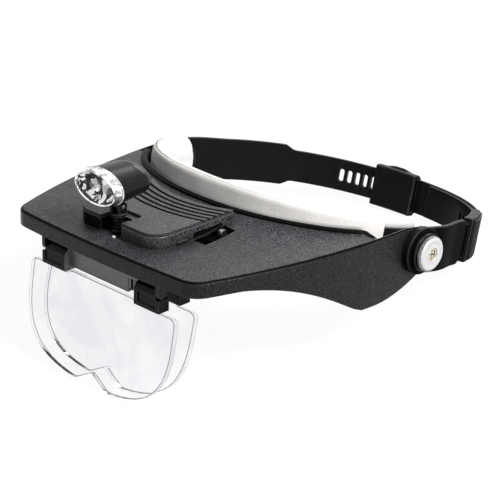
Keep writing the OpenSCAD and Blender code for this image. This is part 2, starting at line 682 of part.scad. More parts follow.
// Plan of the battery box, drawn in by an inset, with its rear edge hollowed
module box_shape(inset, z0, z1) {
    r = box_corner_r - inset;
    x0 = box_right + inset;
    x1 = box_left - inset;
    y0 = box_front + inset;
    difference() {
        union() {
            block(x0, x1, y0 + r, box_rear + 3, z0, z1);
            block(x0 + r, x1 - r, y0, y0 + r + 1, z0, z1);
            for (x = [x0 + r, x1 - r]) translate([x, y0 + r, z0]) cylinder(h = z1 - z0, r = r);
        }
        translate([box_mid, rear_c, z0 - 1]) cylinder(h = z1 - z0 + 2, r = rear_r + inset, $fn = 120);
    }
}
module hinge_lug() {
    block(clip_out - lug_t, clip_out, hinge_y - lug_r, hinge_y + lug_r, hinge_z, -visor_top_t / 2);
    translate([0, hinge_y, hinge_z]) x_rod(clip_out - lug_t, clip_out, lug_r);
}
module visor_shell() {
    color(dark_grey) seat() difference() {
        union() {
            visor_walls();
            visor_flat();
            visor_brow();
            difference() {
                box_shape(0, -visor_top_t / 2, lid_z - slide_gap);
                box_shape(box_wall, -visor_top_t, lid_z + 1);
            }
            for (x = [lid_notch_r - box_wall, lid_notch_l])
                block(x, x + box_wall, box_front + 0.5, bay_front + 1, -visor_top_t / 2, lid_z - slide_gap);
            block(recess_x - 1.2, recess_x + recess_w + 1.2, recess_front - 1.2, recess_rear + 1.2,
                -recess_depth - 1.2, -visor_top_t / 2);
            block(recess_x - 1.2, recess_x + recess_w + 1.2, recess_rear - 8.5, recess_rear + 1.2,
                -visor_top_t, 0.4);
            block(box_left - 0.5, box_left + 1, post_y + 9.5, post_y + 15.5, -visor_top_t / 2, 1.6);
            translate([lamp_x, post_y, -post_boss_h - visor_top_t / 2]) cylinder(h = post_boss_h, r = post_boss_r);
            for (k = [-1, 1]) scale([k, 1, 1]) hinge_lug();
        }
        block(recess_x, recess_x + recess_w, recess_front, recess_rear, -recess_depth, 20);
        block(bay_right, bay_left, bay_front, bay_rear, -20, 20);
        block(lid_notch_r, lid_notch_l, box_front - 1, bay_front + 1, 0, 20);
        translate([lamp_x, post_y, -20]) cylinder(h = 30, r = spigot_d / 2 + pin_gap);
        translate([-1.3, box_front + 0.4, -10]) cylinder(h = 20, r = 0.8);
        for (k = [-1, 1]) scale([k, 1, 1]) {
            translate([0, 0, zk]) x_rod(arm_in - 3, arm_out + 3, bolt_d / 2 + pin_gap);
            translate([0, 0, zk]) x_rod(arm_in - 3, arm_in, tab_r + 1.5);
            translate([0, hinge_y, hinge_z]) x_rod(clip_out - lug_t - 1, clip_out + 1, hinge_pin_d / 2 + fixed_gap);
        }
        tray_screw_places() translate([0, 0, -5]) cylinder(h = 4.7, r = tray_screw_d / 2 + fixed_gap);
        holder_screw_places() translate([0, 0, -5]) cylinder(h = 4.7, r = tray_screw_d / 2 + fixed_gap);
    }
}

// Battery tray under the opening, its flange against the underside of the top
module tray_screw_places() {
    for (x = [bay_right - flange_w / 2, bay_left + flange_w / 2]) for (y = [bay_front + 4, brow_start - 3.2])
        translate([x, y, 0]) children();
}
module battery_tray() {
    color(black) seat() difference() {
        union() {
            block(bay_right + tray_gap, bay_left - tray_gap, bay_front + tray_gap, bay_rear - tray_gap,
                tray_bottom, -visor_top_t + 1.6);
            block(lid_notch_r - 2, lid_notch_l + 2, bay_front + tray_gap, bay_front + tray_gap + tray_wall,
                tray_floor, lid_z - 1.05);
            block(bay_right - flange_w, bay_left + flange_w, bay_front + 2, brow_start - 0.5,
                -visor_top_t - flange_t - 0.05, -visor_top_t - 0.05);
        }
        block(bay_right + tray_gap + tray_wall, bay_left - tray_gap - tray_wall,
            bay_front + tray_gap + tray_wall, bay_rear - tray_gap - tray_wall, tray_floor, 10);
        tray_screw_places() translate([0, 0, -10]) cylinder(h = 20, r = tray_screw_d / 2 + fixed_gap);
    }
}
module tray_screws() {
    color(silver) seat() tray_screw_places() {
        translate([0, 0, -visor_top_t - flange_t - 1.3]) cylinder(h = 1.2, r = tray_screw_d);
        translate([0, 0, -visor_top_t - flange_t - 0.2]) cylinder(h = visor_top_t + flange_t - 0.2, r = tray_screw_d / 2);
    }
}
cell_x = (bay_right + bay_left - cell_len) / 2;
function cell_y(i) = bay_rear - tray_gap - tray_wall - 0.1 - cell_pitch * (i + 0.5);
module battery(i) {
    color(cell_colour) seat() translate([0, cell_y(i), cell_z]) {
        x_rod(cell_x, cell_x + cell_len - 1, cell_d / 2);
        x_rod(cell_x + cell_len - 1.1, cell_x + cell_len, 1.9);
    }
}
module battery_front() { battery(2); }
module battery_middle() { battery(1); }
module battery_rear() { battery(0); }
module battery_contacts() {
    x0 = bay_right + tray_gap + tray_wall;
    x1 = bay_left - tray_gap - tray_wall;
    color(silver) seat() for (i = [0:2]) translate([0, cell_y(i), cell_z]) {
        block(x0 + 0.05, x0 + 0.55, -3.6, 3.6, tray_floor - cell_z + 0.1, 3);
        x_rod(x0 + 0.5, cell_x - 0.05, 2.2);
        block(x1 - 0.55, x1 - 0.05, -3.6, 3.6, tray_floor - cell_z + 0.1, 3);
        x_rod(cell_x + cell_len + 0.05, x1 - 0.5, 1.5);
    }
}
module battery_lid() {
    tongue = 1.2;
    color(mid_grey) seat() difference() {
        union() {
            box_shape(0, lid_z, box_h);
            for (x = [box_right + box_wall + slide_gap, box_left - box_wall - slide_gap - tongue])
                block(x, x + tongue, bay_front + 4, box_rear - box_rear_sag - lid_travel - 5, lid_z - 1.4, lid_z + 0.1);
            block(lid_notch_r - 1, lid_notch_l + 1, bay_front + tray_gap, lid_notch_y + 1, lid_z - 0.9, lid_z + 0.1);
        }
        block(lid_notch_r, lid_notch_l, box_front - 1, lid_notch_y, lid_z, box_h + 1);
        for (k = [0:2]) translate([lid_notch_l, lid_notch_y - 8 + k * lid_bite, lid_z])
            rotate([0, 0, 45]) translate([-1, -1, 0]) cube([2, 2, lid_t + 2]);
        for (i = [1:groove_n]) difference() {
            translate([box_mid, rear_c, box_h - groove_depth])
                cylinder(h = 2, r = rear_r + i * groove_pitch + groove_w / 2, $fn = 120);
            translate([box_mid, rear_c, box_h - groove_depth - 1])
                cylinder(h = 4, r = rear_r + i * groove_pitch - groove_w / 2, $fn = 120);
            block(box_right - 1, box_right + 3.5, box_front - 6, box_rear + 10, 0, 20);
        }
    }
}

// Slide switch in its recess
switch_x = recess_x + 0.4;
switch_y = recess_rear - 0.4 - switch_len;
lever_x = switch_x + 0.7;
lever_y = switch_y + switch_len - 1;
module switch_body() {
    color(black) seat() difference() {
        block(switch_x, switch_x + switch_w, switch_y, switch_y + switch_len,
            -recess_depth + 0.02, -recess_depth + switch_h);
        block(lever_x - slide_gap, lever_x + lever_w + slide_gap, lever_y - lever_len - switch_travel - slide_gap,
            lever_y + slide_gap, -recess_depth + 1.2, 10);
    }
}
module switch_slider() {
    color(silver) seat() {
        block(lever_x, lever_x + lever_w, lever_y - lever_len, lever_y, -recess_depth + 1.4,
            lever_top - lever_len / 2);
        translate([0, lever_y - lever_len / 2, lever_top - lever_len / 2]) x_rod(lever_x, lever_x + lever_w, lever_len / 2);
    }
}

// Lens plates: outline in the plate's own plane, x across and z up
lens_half = concat(
    [[0, -0.6], [clip_in - 2, -0.6], [clip_in - 0.6, plate_low], [tab_in, plate_low], [tab_in, tab_h],
    [tab_out, tab_h], [tab_out, plate_low], [lens_w / 2 - 3, plate_low], [lens_w / 2 - 1, plate_low - 0.9],
    [lens_w / 2, -5]],
    bezier([lens_w / 2, -14], [lens_w / 2, -0.74 * lens_drop], [0.81 * lens_w / 2, 3.5 - lens_drop],
        [14, -lens_drop], 12),
    [for (p = bezier([14, -lens_drop], [11.5, -lens_drop], [9.5, 1 - lens_drop], [8, 2 - lens_drop], 4))
        if (p[0] < 13.9) p], [[0, 6.5 - lens_drop]]);
module lens_prism(t) {
    rotate([90, 0, 0]) linear_extrude(height = t, center = true)
        polygon(concat(lens_half, rev(flip_x([for (i = [1:len(lens_half) - 2]) lens_half[i]]))));
}
module lens_plate() {
    cap_r = (lobe_r * lobe_r + lobe_sag * lobe_sag) / (2 * lobe_sag);
    lens_prism(lens_t);
    intersection() {
        lens_prism(lens_t + 4 * lobe_sag);
        for (k = [-1, 1]) translate([k * lobe_x, 0, lobe_z]) intersection() {
            translate([0, cap_r - lens_t / 2 - lobe_sag, 0]) sphere(r = cap_r, $fn = 200);
            rotate([90, 0, 0]) cylinder(h = lens_t / 2 + lobe_sag + 1, r = lobe_r, $fn = 96);
        }
    }
}
module front_lens_plate() {
    color(clear) lens_frame(lens_y_front, front_lens_tilt) lens_plate();
}
module rear_lens_plate() {
    color(clear) lens_frame(lens_y_rear, rear_lens_tilt) translate([0, 0, -rear_extra]) lens_plate();
}
// Slot for a plate's tab, cut along the plate's own plane
module tab_slots(y0, tilt) {
    translate([0, y0, lens_top]) rotate([-tilt, 0, 0]) for (k = [-1, 1]) scale([k, 1, 1])
        block(tab_in - slide_gap, tab_out + slide_gap, -lens_t / 2 - 0.1, lens_t / 2 + 0.1, -8, tab_h + 0.2);
}
module clip_body(y0, x0, x1) {
    block(x0, x1, y0, y0 + clip_depth, -clip_bottom, clip_top);
}
module front_lens_holder() {
    bar_y = front_clip_y + 4.2;
    color(black) seat() difference() {
        union() {
            for (k = [-1, 1]) scale([k, 1, 1]) difference() {
                clip_body(front_clip_y, clip_in, clip_out);
                block(clip_out - lug_cut, clip_out + 1, front_clip_y - 1, front_clip_y + clip_depth + 1,
                    hinge_z - lug_r - 0.6, 0);
                translate([0, front_clip_y, clip_top]) rotate([45, 0, 0])
                    translate([clip_in - 1, -6, -bevel * 0.7071]) cube([clip_w + 2, 12, 8]);
                block(clip_in + 2.4, clip_out - 2, front_clip_y - 1, front_clip_y + 0.7,
                    -clip_bottom + 2, -lip_h - 6.8);
            }
            block(-clip_in - 0.5, clip_in - 8.6, bar_y, bar_y + bar_t, -clip_bottom + 1.9, clip_top);
            block(-clip_in - 0.5, clip_in + 0.5, bar_y, bar_y + bar_t, clip_top - 2.6, clip_top);
            for (x = [clip_in - 8.2, clip_in - 5]) {
                block(x, x + 1.7, bar_y, bar_y + bar_t, -clip_bottom + 4.2, clip_top);
                translate([0, bar_y + bar_t / 2, -clip_bottom + 4.2]) x_rod(x, x + 1.7, bar_t / 2);
            }
        }
        tab_slots(lens_y_front, front_lens_tilt);
        for (k = [-1, 1]) scale([k, 1, 1]) translate([0, hinge_y, hinge_z])
            x_rod(clip_out - 7, clip_out + 1, hinge_pin_d / 2 + pin_gap);
    }
}
module hinge_pins() {
    color(silver) seat() for (k = [-1, 1]) scale([k, 1, 1]) translate([0, hinge_y, hinge_z])
        x_rod(clip_out - 6.8, clip_out - 0.2, hinge_pin_d / 2);
}
beam_y = rear_clip_y + 1;
foot_x = clip_in + 10;
foot_t = 2;
foot_rear = beam_y + 11.5;
module holder_screw_places() {
    for (k = [-1, 1]) translate([k * (foot_x + clip_out) / 2, foot_rear - 2.6, 0]) children();
}
module rear_lens_holder() {
    color(black) seat() difference() {
        union() {
            for (k = [-1, 1]) scale([k, 1, 1]) {
                clip_body(rear_clip_y, clip_in, clip_out);
                block(clip_in, clip_out, beam_y, beam_y + 4.8, clip_top - 1, -visor_top_t - 0.05);
                block(foot_x, clip_out, beam_y, foot_rear, -visor_top_t - foot_t, -visor_top_t - 0.05);
            }
            block(-clip_in - 1, clip_in + 1, beam_y + 1, beam_y + 3.8, clip_top, -post_boss_h - visor_top_t - 0.8);
        }
        tab_slots(lens_y_rear, rear_lens_tilt);
        holder_screw_places() translate([0, 0, -8]) cylinder(h = 10, r = tray_screw_d / 2 + fixed_gap);
    }
}
module holder_screws() {
    color(silver) seat() holder_screw_places() {
        translate([0, 0, -visor_top_t - foot_t - 1.25]) cylinder(h = 1.2, r = tray_screw_d);
        translate([0, 0, -visor_top_t - foot_t - 0.1]) cylinder(h = visor_top_t + foot_t - 0.3, r = tray_screw_d / 2);
    }
}

// Lamp post, turning in its boss, with a fork for the lamp
module lamp_post() {
    fork_z = -4.2;
    color(black) lamp_frame() difference() {
        union() {
            translate([0, 0, -post_h - post_boss_h - visor_top_t / 2 - 0.3])
                cylinder(h = post_boss_h + 8, r = spigot_d / 2);
            translate([0, 0, -post_h + 0.15]) cylinder(h = 1.4, r = post_d / 2 + 0.6);
            translate([0, 0, -post_h + 0.15]) cylinder(h = post_h + fork_z, r = post_d / 2);
            for (k = [-1, 1]) scale([k, 1, 1]) {
                x_rod(lug_w / 2 + slide_gap, lug_w / 2 + slide_gap + ear_t, 2.4);
                block(lug_w / 2 + slide_gap, lug_w / 2 + slide_gap + ear_t, -2.4, 2.4, fork_z, 0);
            }
            translate([0, 0, fork_z - 1]) cylinder(h = 1.4, r = 4.2);
        }
        x_rod(-8, 8, tilt_pin_d / 2 + fixed_gap);
        translate([0, 0, -post_h - post_boss_h - 6]) cylinder(h = 10, r = 0.9);
    }
}
module post_screw() {
    low = -post_boss_h - visor_top_t / 2;
    color(silver) seat() translate([lamp_x, post_y, low]) {
        translate([0, 0, -1.5]) cylinder(h = 1.2, r = post_boss_r - 0.8);
        translate([0, 0, -0.5]) cylinder(h = 3.5, r = 0.9 - fixed_gap);
    }
}
module tilt_pin() {
    color(silver) lamp_frame()
        x_rod(-lug_w / 2 - slide_gap - ear_t, lug_w / 2 + slide_gap + ear_t, tilt_pin_d / 2);
}
// Lamp sections from the back of the bezel to the tail: [y, half width, half height]
body_a = lamp_a - 0.5;
body_b = lamp_b - 0.4;
tail = lamp_len - bezel_t;
function body_section(u, d) = let (f = u < 0.6 ? 1 - 0.12 * u : 0.928 * sqrt(max(0.02, 1 - pow((u - 0.6) / 0.415, 2.6))))
    [bezel_t + 0.1 + u * (tail - 0.1 - d), (body_a - d) * f, (body_b - d) * f];
module lamp_housing() {
    color(dark_grey) union() {
        lamp_axis() difference() {
            oval_loft([for (u = [0, 0.2, 0.4, 0.6, 0.72, 0.82, 0.9, 0.96, 1]) body_section(u, 0)]);
            translate([0, -0.2, 0]) oval_loft([for (u = [0, 0.3, 0.6, 0.75, 0.88]) body_section(u, shell_t)]);
        }
        lamp_frame() rotate([lamp_pitch, 0, 0]) difference() {
            union() {
                x_rod(-lug_w / 2, lug_w / 2, 2.4);
                block(-lug_w / 2, lug_w / 2, -2.4, 2.4, 0, lamp_up - body_b + 0.8);
            }
            x_rod(-8, 8, tilt_pin_d / 2 + pin_gap);
        }
    }
}
module lamp_bezel() {
    color(chrome) lamp_axis() difference() {
        oval_loft([[0, lamp_a - 1.3, lamp_b - 0.5], [0.4, lamp_a - 1, lamp_b - 0.2],
            [bezel_t * 0.55, lamp_a - 0.4, lamp_b - 0.1], [bezel_t, lamp_a, lamp_b]]);
        oval_loft([[-1, lamp_a - 2, lamp_b - 1.6], [bezel_t + 1, lamp_a - 1.7, lamp_b - 1.6]]);
    }
}
module lamp_reflector() {
    deep = reflector_t + 1.2;
    color(chrome) lamp_axis() difference() {
        oval_loft([[1.6, lamp_a - 2.25, lamp_b - 1.85], [deep, lamp_a - 2.1, lamp_b - 1.85]]);
        for (k = [-1, 1]) translate([k * led_pitch / 2, 0, 0]) rotate([-90, 0, 0])
            rotate_extrude($fn = 48) polygon(concat([[0, 1]], [for (i = [0:5]) let (u = i / 5)
                [bowl_r - (bowl_r - led_d / 2 - 0.15) * u * u, 1 + u * (deep - 0.9)]],
                [[led_d / 2 + 0.15, deep + 1], [0, deep + 1]]));
    }
}
module lamp_leds() {
    color(clear) lamp_axis() for (k = [-1, 1]) translate([k * led_pitch / 2, 0, 0]) rotate([-90, 0, 0]) {
        translate([0, 0, 4.2]) sphere(r = led_d / 2 - 0.05);
        translate([0, 0, 4.2]) cylinder(h = reflector_t - 2.1, r = led_d / 2 - 0.05);
    }
}
module led_board() {
    color(board_green) lamp_axis()
        oval_loft([[reflector_t + 2.2, lamp_a - 2.8, lamp_b - 2.6], [reflector_t + 3.6, lamp_a - 2.8, lamp_b - 2.6]]);
}
module lamp_window() {
    color(clear) lamp_axis()
        oval_loft([[0.4, lamp_a - 2.2, lamp_b - 1.8], [1.4, lamp_a - 2.2, lamp_b - 1.8]]);
}

front_band();
sweatband();
pivot_bolts();
side_strap_left();
side_strap_right();
rear_strap();
pivot_washers();
knob_left();
knob_right();
insert_left();
insert_right();
visor_shell();
battery_tray();
tray_screws();
battery_contacts();
battery_front();
battery_middle();
battery_rear();
battery_lid();
switch_body();
switch_slider();
rear_lens_holder();
holder_screws();
front_lens_holder();
hinge_pins();
front_lens_plate();
rear_lens_plate();
lamp_post();
post_screw();
tilt_pin();
lamp_housing();
lamp_bezel();
lamp_reflector();
lamp_leds();
led_board();
lamp_window();
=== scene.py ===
import json
import math

import bmesh
import bpy
import numpy as np
from mathutils import Matrix, Vector

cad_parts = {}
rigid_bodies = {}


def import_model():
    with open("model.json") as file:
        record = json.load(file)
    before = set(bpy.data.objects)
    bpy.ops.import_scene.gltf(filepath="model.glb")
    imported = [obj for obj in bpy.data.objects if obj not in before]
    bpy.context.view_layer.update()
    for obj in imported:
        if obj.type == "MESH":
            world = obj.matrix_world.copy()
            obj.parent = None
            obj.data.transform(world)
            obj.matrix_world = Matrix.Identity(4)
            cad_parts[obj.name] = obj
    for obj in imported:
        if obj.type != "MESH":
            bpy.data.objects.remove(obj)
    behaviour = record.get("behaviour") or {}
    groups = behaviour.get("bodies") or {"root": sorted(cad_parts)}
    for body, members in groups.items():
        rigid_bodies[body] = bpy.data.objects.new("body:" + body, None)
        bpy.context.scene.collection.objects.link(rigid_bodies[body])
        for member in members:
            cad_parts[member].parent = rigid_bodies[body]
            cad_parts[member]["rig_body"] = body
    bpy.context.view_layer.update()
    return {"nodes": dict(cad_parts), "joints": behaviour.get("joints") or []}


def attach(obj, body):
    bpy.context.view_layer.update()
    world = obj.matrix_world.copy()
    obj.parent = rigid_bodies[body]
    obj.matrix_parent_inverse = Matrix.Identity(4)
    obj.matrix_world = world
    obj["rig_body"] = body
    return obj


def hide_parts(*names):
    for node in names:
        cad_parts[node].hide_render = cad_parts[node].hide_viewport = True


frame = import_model()
nodes = frame["nodes"]


def say(text):
    print("scene: " + text, flush=True)


def addPiece(name, data):
    obj = bpy.data.objects.new(name, data)
    bpy.context.scene.collection.objects.link(obj)
    return obj


# Visor frame: millimetres, visor top at z = 0, knob axis at y = 0, seated in the row frame
joints = {joint["name"]: joint for joint in frame["joints"]}
slideAxis = joints["lid_slide"]["axis"]
knobPlace = joints["visor_tilt"]["pos_m"]
restTilt = math.atan2(-slideAxis[2], slideAxis[1])
knobZ = -13.7
bandTilt = 12.6  # degrees between visor and headband
toMetres, toMillimetres = Matrix.Scale(0.001, 4), Matrix.Scale(1000, 4)
seatY = knobPlace[1] * 1000 - knobZ * math.sin(restTilt)
seatZ = knobPlace[2] * 1000 - knobZ * math.cos(restTilt)
seat = Matrix.Translation((0, seatY / 1000, seatZ / 1000)) @ Matrix.Rotation(-restTilt, 4, "X") @ toMetres
bandFrame = seat @ Matrix.Translation((0, 0, knobZ)) @ Matrix.Rotation(-math.radians(bandTilt), 4, "X")
seatBack, bandBack = seat.inverted(), bandFrame.inverted()

# Camera, fitted to the photo; its place is in the visor frame
cameraSet = {
    "azimuth": 43.931, "elevation": 23.163, "roll": 1.443, "lens": 132.617,
    "place": (624.910, -679.368, 352.021), "near": 0.05, "far": 50,
}


def makeCamera(s):
    a, e, r = (math.radians(s[k]) for k in ("azimuth", "elevation", "roll"))
    look = Vector((-math.sin(a) * math.cos(e), math.cos(a) * math.cos(e), -math.sin(e)))
    right = Vector((math.cos(a), math.sin(a), 0))
    up = right.cross(look)
    turn = Matrix.Identity(4)
    for i, v in enumerate((right * math.cos(r) + up * math.sin(r), up * math.cos(r) - right * math.sin(r), -look)):
        turn.col[i][:3] = v
    data = bpy.data.cameras.new("photoCamera")
    data.sensor_width, data.lens = 36, s["lens"]
    data.clip_start, data.clip_end = s["near"], s["far"]
    camera = addPiece("photoCamera", data)
    camera.matrix_world = Matrix.Translation(seat @ Vector(s["place"])) @ Matrix.Rotation(-restTilt, 4, "X") @ turn
    bpy.context.scene.camera = camera


makeCamera(cameraSet)
bpy.context.scene.view_settings.view_transform = "Standard"
say("camera set")


# Small helpers for meshes
def bake(obj):
    graph = bpy.context.evaluated_depsgraph_get()
    graph.update()
    mesh = bpy.data.meshes.new_from_object(obj.evaluated_get(graph))
    obj.modifiers.clear()
    old = obj.data
    obj.data = mesh
    bpy.data.meshes.remove(old)
    return obj


def smooth(obj, angle=32):
    mesh = obj.data
    mesh.polygons.foreach_set("use_smooth", [True] * len(mesh.polygons))
    mesh.set_sharp_from_angle(angle=math.radians(angle))
    return obj


def soften(obj, width, segments=2, angle=28):
    m = obj.modifiers.new("soften", "BEVEL")
    m.width, m.segments = width / 1000, segments
    m.limit_method, m.angle_limit = "ANGLE", math.radians(angle)
    m.miter_outer = "MITER_ARC"
    bake(obj)
    return smooth(obj)


def evenNormals(obj):
    m = obj.modifiers.new("even", "WEIGHTED_NORMAL")
    m.keep_sharp = True
    return bake(obj)


def drop(obj):
    mesh = obj.data
    bpy.data.objects.remove(obj)
    bpy.data.meshes.remove(mesh)


def cutWith(obj, cutter):
    m = obj.modifiers.new("cut", "BOOLEAN")
    m.operation, m.solver, m.object = "DIFFERENCE", "EXACT", cutter
    bake(obj)
    drop(cutter)
    return obj


def joinTo(obj, *others):
    bm = bmesh.new()
    bm.from_mesh(obj.data)
    for other in others:
        bm.from_mesh(other.data)
        drop(other)
    bm.to_mesh(obj.data)
    bm.free()
    return obj


# A finished piece stands for one CAD node and rides that node's body, or the one that is named
def settle(obj, matName, nodeName, bodyName=None):
    obj.data.materials.clear()
    obj.data.materials.append(mats[matName])
    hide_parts(nodeName)
    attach(obj, bodyName or nodes[nodeName]["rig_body"])


def paintFaces(obj, matName, chosen):
    obj.data.materials.append(mats[matName])
    index = len(obj.data.materials) - 1
    for face in obj.data.polygons:
        if chosen(face):
            face.material_index = index


# Small helpers for node trees; a colour is one grey, a grey and its blue, or red, green and blue
def tint(value):
    parts = value if isinstance(value, tuple) else (value,)
    return (*parts, 1.0) if len(parts) == 3 else (parts[0], parts[0], parts[-1], 1.0)


# An input takes a plain value or the output of another node
def feed(tree, target, values):
    for key, value in values.items():
        socket = target.inputs[key]
        if isinstance(value, bpy.types.NodeSocket):
            tree.links.new(value, socket)
        else:
            socket.default_value = tint(value) if socket.type == "RGBA" else value


def node(tree, kind, inputs=None, **settings):
    n = tree.nodes.new(kind)
    for key, value in settings.items():
        setattr(n, key, value)
    feed(tree, n, inputs or {})
    return n


def newGroup(name, kind, ins, outs):
    tree = bpy.data.node_groups.new(name, kind)
    for way, sockets in (("INPUT", ins), ("OUTPUT", outs)):
        for label, socketKind, *value in sockets:
            socket = tree.interface.new_socket(label, in_out=way, socket_type="NodeSocket" + socketKind)
            if value:
                socket.default_value = value[0]
    return tree, node(tree, "NodeGroupInput").outputs, node(tree, "NodeGroupOutput")


def floats(**values):
    return [(label, "Float", value) for label, value in values.items()]


def maths(tree, operation, *values, clamp=False):
    return node(tree, "ShaderNodeMath", dict(enumerate(values)), operation=operation, use_clamp=clamp).outputs[0]


def remap(tree, value, low, high, start=0.0, end=1.0):
    sockets = {"Value": value, "From Min": low, "From Max": high, "To Min": start, "To Max": end}
    return node(tree, "ShaderNodeMapRange", sockets).outputs["Result"]


def objectPlace(tree):
    return node(tree, "ShaderNodeTexCoord").outputs["Object"]


def noise(tree, **inputs):
    return node(tree, "ShaderNodeTexNoise", {"Vector": objectPlace(tree), **inputs}).outputs["Fac"]


def mixColour(tree, factor, first, second):
    return node(tree, "ShaderNodeMix", {0: factor, 6: first, 7: second}, data_type="RGBA").outputs[2]


# Surface effects shared by the materials
def grainGroup():
    outs = [("Normal", "Vector"), ("Speck", "Float"), ("Sheen", "Float")]
    g, a, b = newGroup("grain", "ShaderNodeTree", floats(Size=900.0, Depth=0.2, Waver=0.05), outs)
    fine = noise(g, Scale=a["Size"], Detail=3.0, Roughness=0.6)
    slow = noise(g, Scale=38.0, Detail=4.0, Roughness=0.55)
    bump = node(g, "ShaderNodeBump", {"Distance": 0.0004, "Strength": a["Depth"], "Height": fine})
    sheen = maths(g, "MULTIPLY", maths(g, "SUBTRACT", slow, 0.5), a["Waver"])
    feed(g, b, {"Normal": bump.outputs["Normal"], "Speck": remap(g, fine, 0.42, 0.68), "Sheen": sheen})
    return g


# Mask where a face turns away from its rounded normal: the finishes mix in light edge lines there, partly wear and
# partly painted highlight, and on the lid a painted dark line of shade
def edgeGroup():
    g, a, b = newGroup("edge", "ShaderNodeTree", floats(Reach=0.0006, Gain=4.0), [("Edge", "Float")])
    rounded = node(g, "ShaderNodeBevel", {"Radius": a["Reach"]}, samples=4).outputs["Normal"]
    flat = node(g, "ShaderNodeNewGeometry").outputs["True Normal"]
    dot = node(g, "ShaderNodeVectorMath", {0: rounded, 1: flat}, operation="DOT_PRODUCT").outputs["Value"]
    feed(g, b, {"Edge": maths(g, "MULTIPLY", maths(g, "SUBTRACT", 1.0, dot), a["Gain"], clamp=True)})
    return g


# Specks that lie on faces turned upwards
def dustGroup():
    g, a, b = newGroup("dust", "ShaderNodeTree", floats(Amount=0.1), [("Dust", "Float")])
    normal = node(g, "ShaderNodeNewGeometry").outputs["Normal"]
    up = remap(g, node(g, "ShaderNodeSeparateXYZ", {0: normal}).outputs["Z"], 0.2, 1.0)
    specks = remap(g, noise(g, Scale=260.0, Detail=6.0, Roughness=0.7), 0.5, 0.75)
    feed(g, b, {"Dust": maths(g, "MULTIPLY", maths(g, "MULTIPLY", up, specks), a["Amount"], clamp=True)})
    return g


# Painted shade: 1 on open faces, lower in corners and grooves, where a darker colour is mixed in
def cavityShadeGroup():
    g, a, b = newGroup("cavityShade", "ShaderNodeTree", floats(Reach=0.003, Amount=0.8), [("Open", "Float")])
    around = node(g, "ShaderNodeAmbientOcclusion", {"Distance": a["Reach"]}, samples=6).outputs["AO"]
    closed = maths(g, "SUBTRACT", 1.0, remap(g, around, 0.35, 0.95))
    feed(g, b, {"Open": maths(g, "SUBTRACT", 1.0, maths(g, "MULTIPLY", closed, a["Amount"]), clamp=True)})
    return g


effects = {"grain": grainGroup(), "edge": edgeGroup(), "dust": dustGroup(), "cavityShade": cavityShadeGroup()}
mats = {}


def effect(tree, name, **inputs):
    return node(tree, "ShaderNodeGroup", inputs, node_tree=effects[name]).outputs


# Each maker builds its nodes in the tree and returns what the shader's inputs get
def makeMaterials(maker, sets):
    for name, s in sets.items():
        mats[name] = bpy.data.materials.new(name)
        mats[name].use_nodes = True
        tree = mats[name].node_tree
        feed(tree, tree.nodes["Principled BSDF"], maker(tree, s))
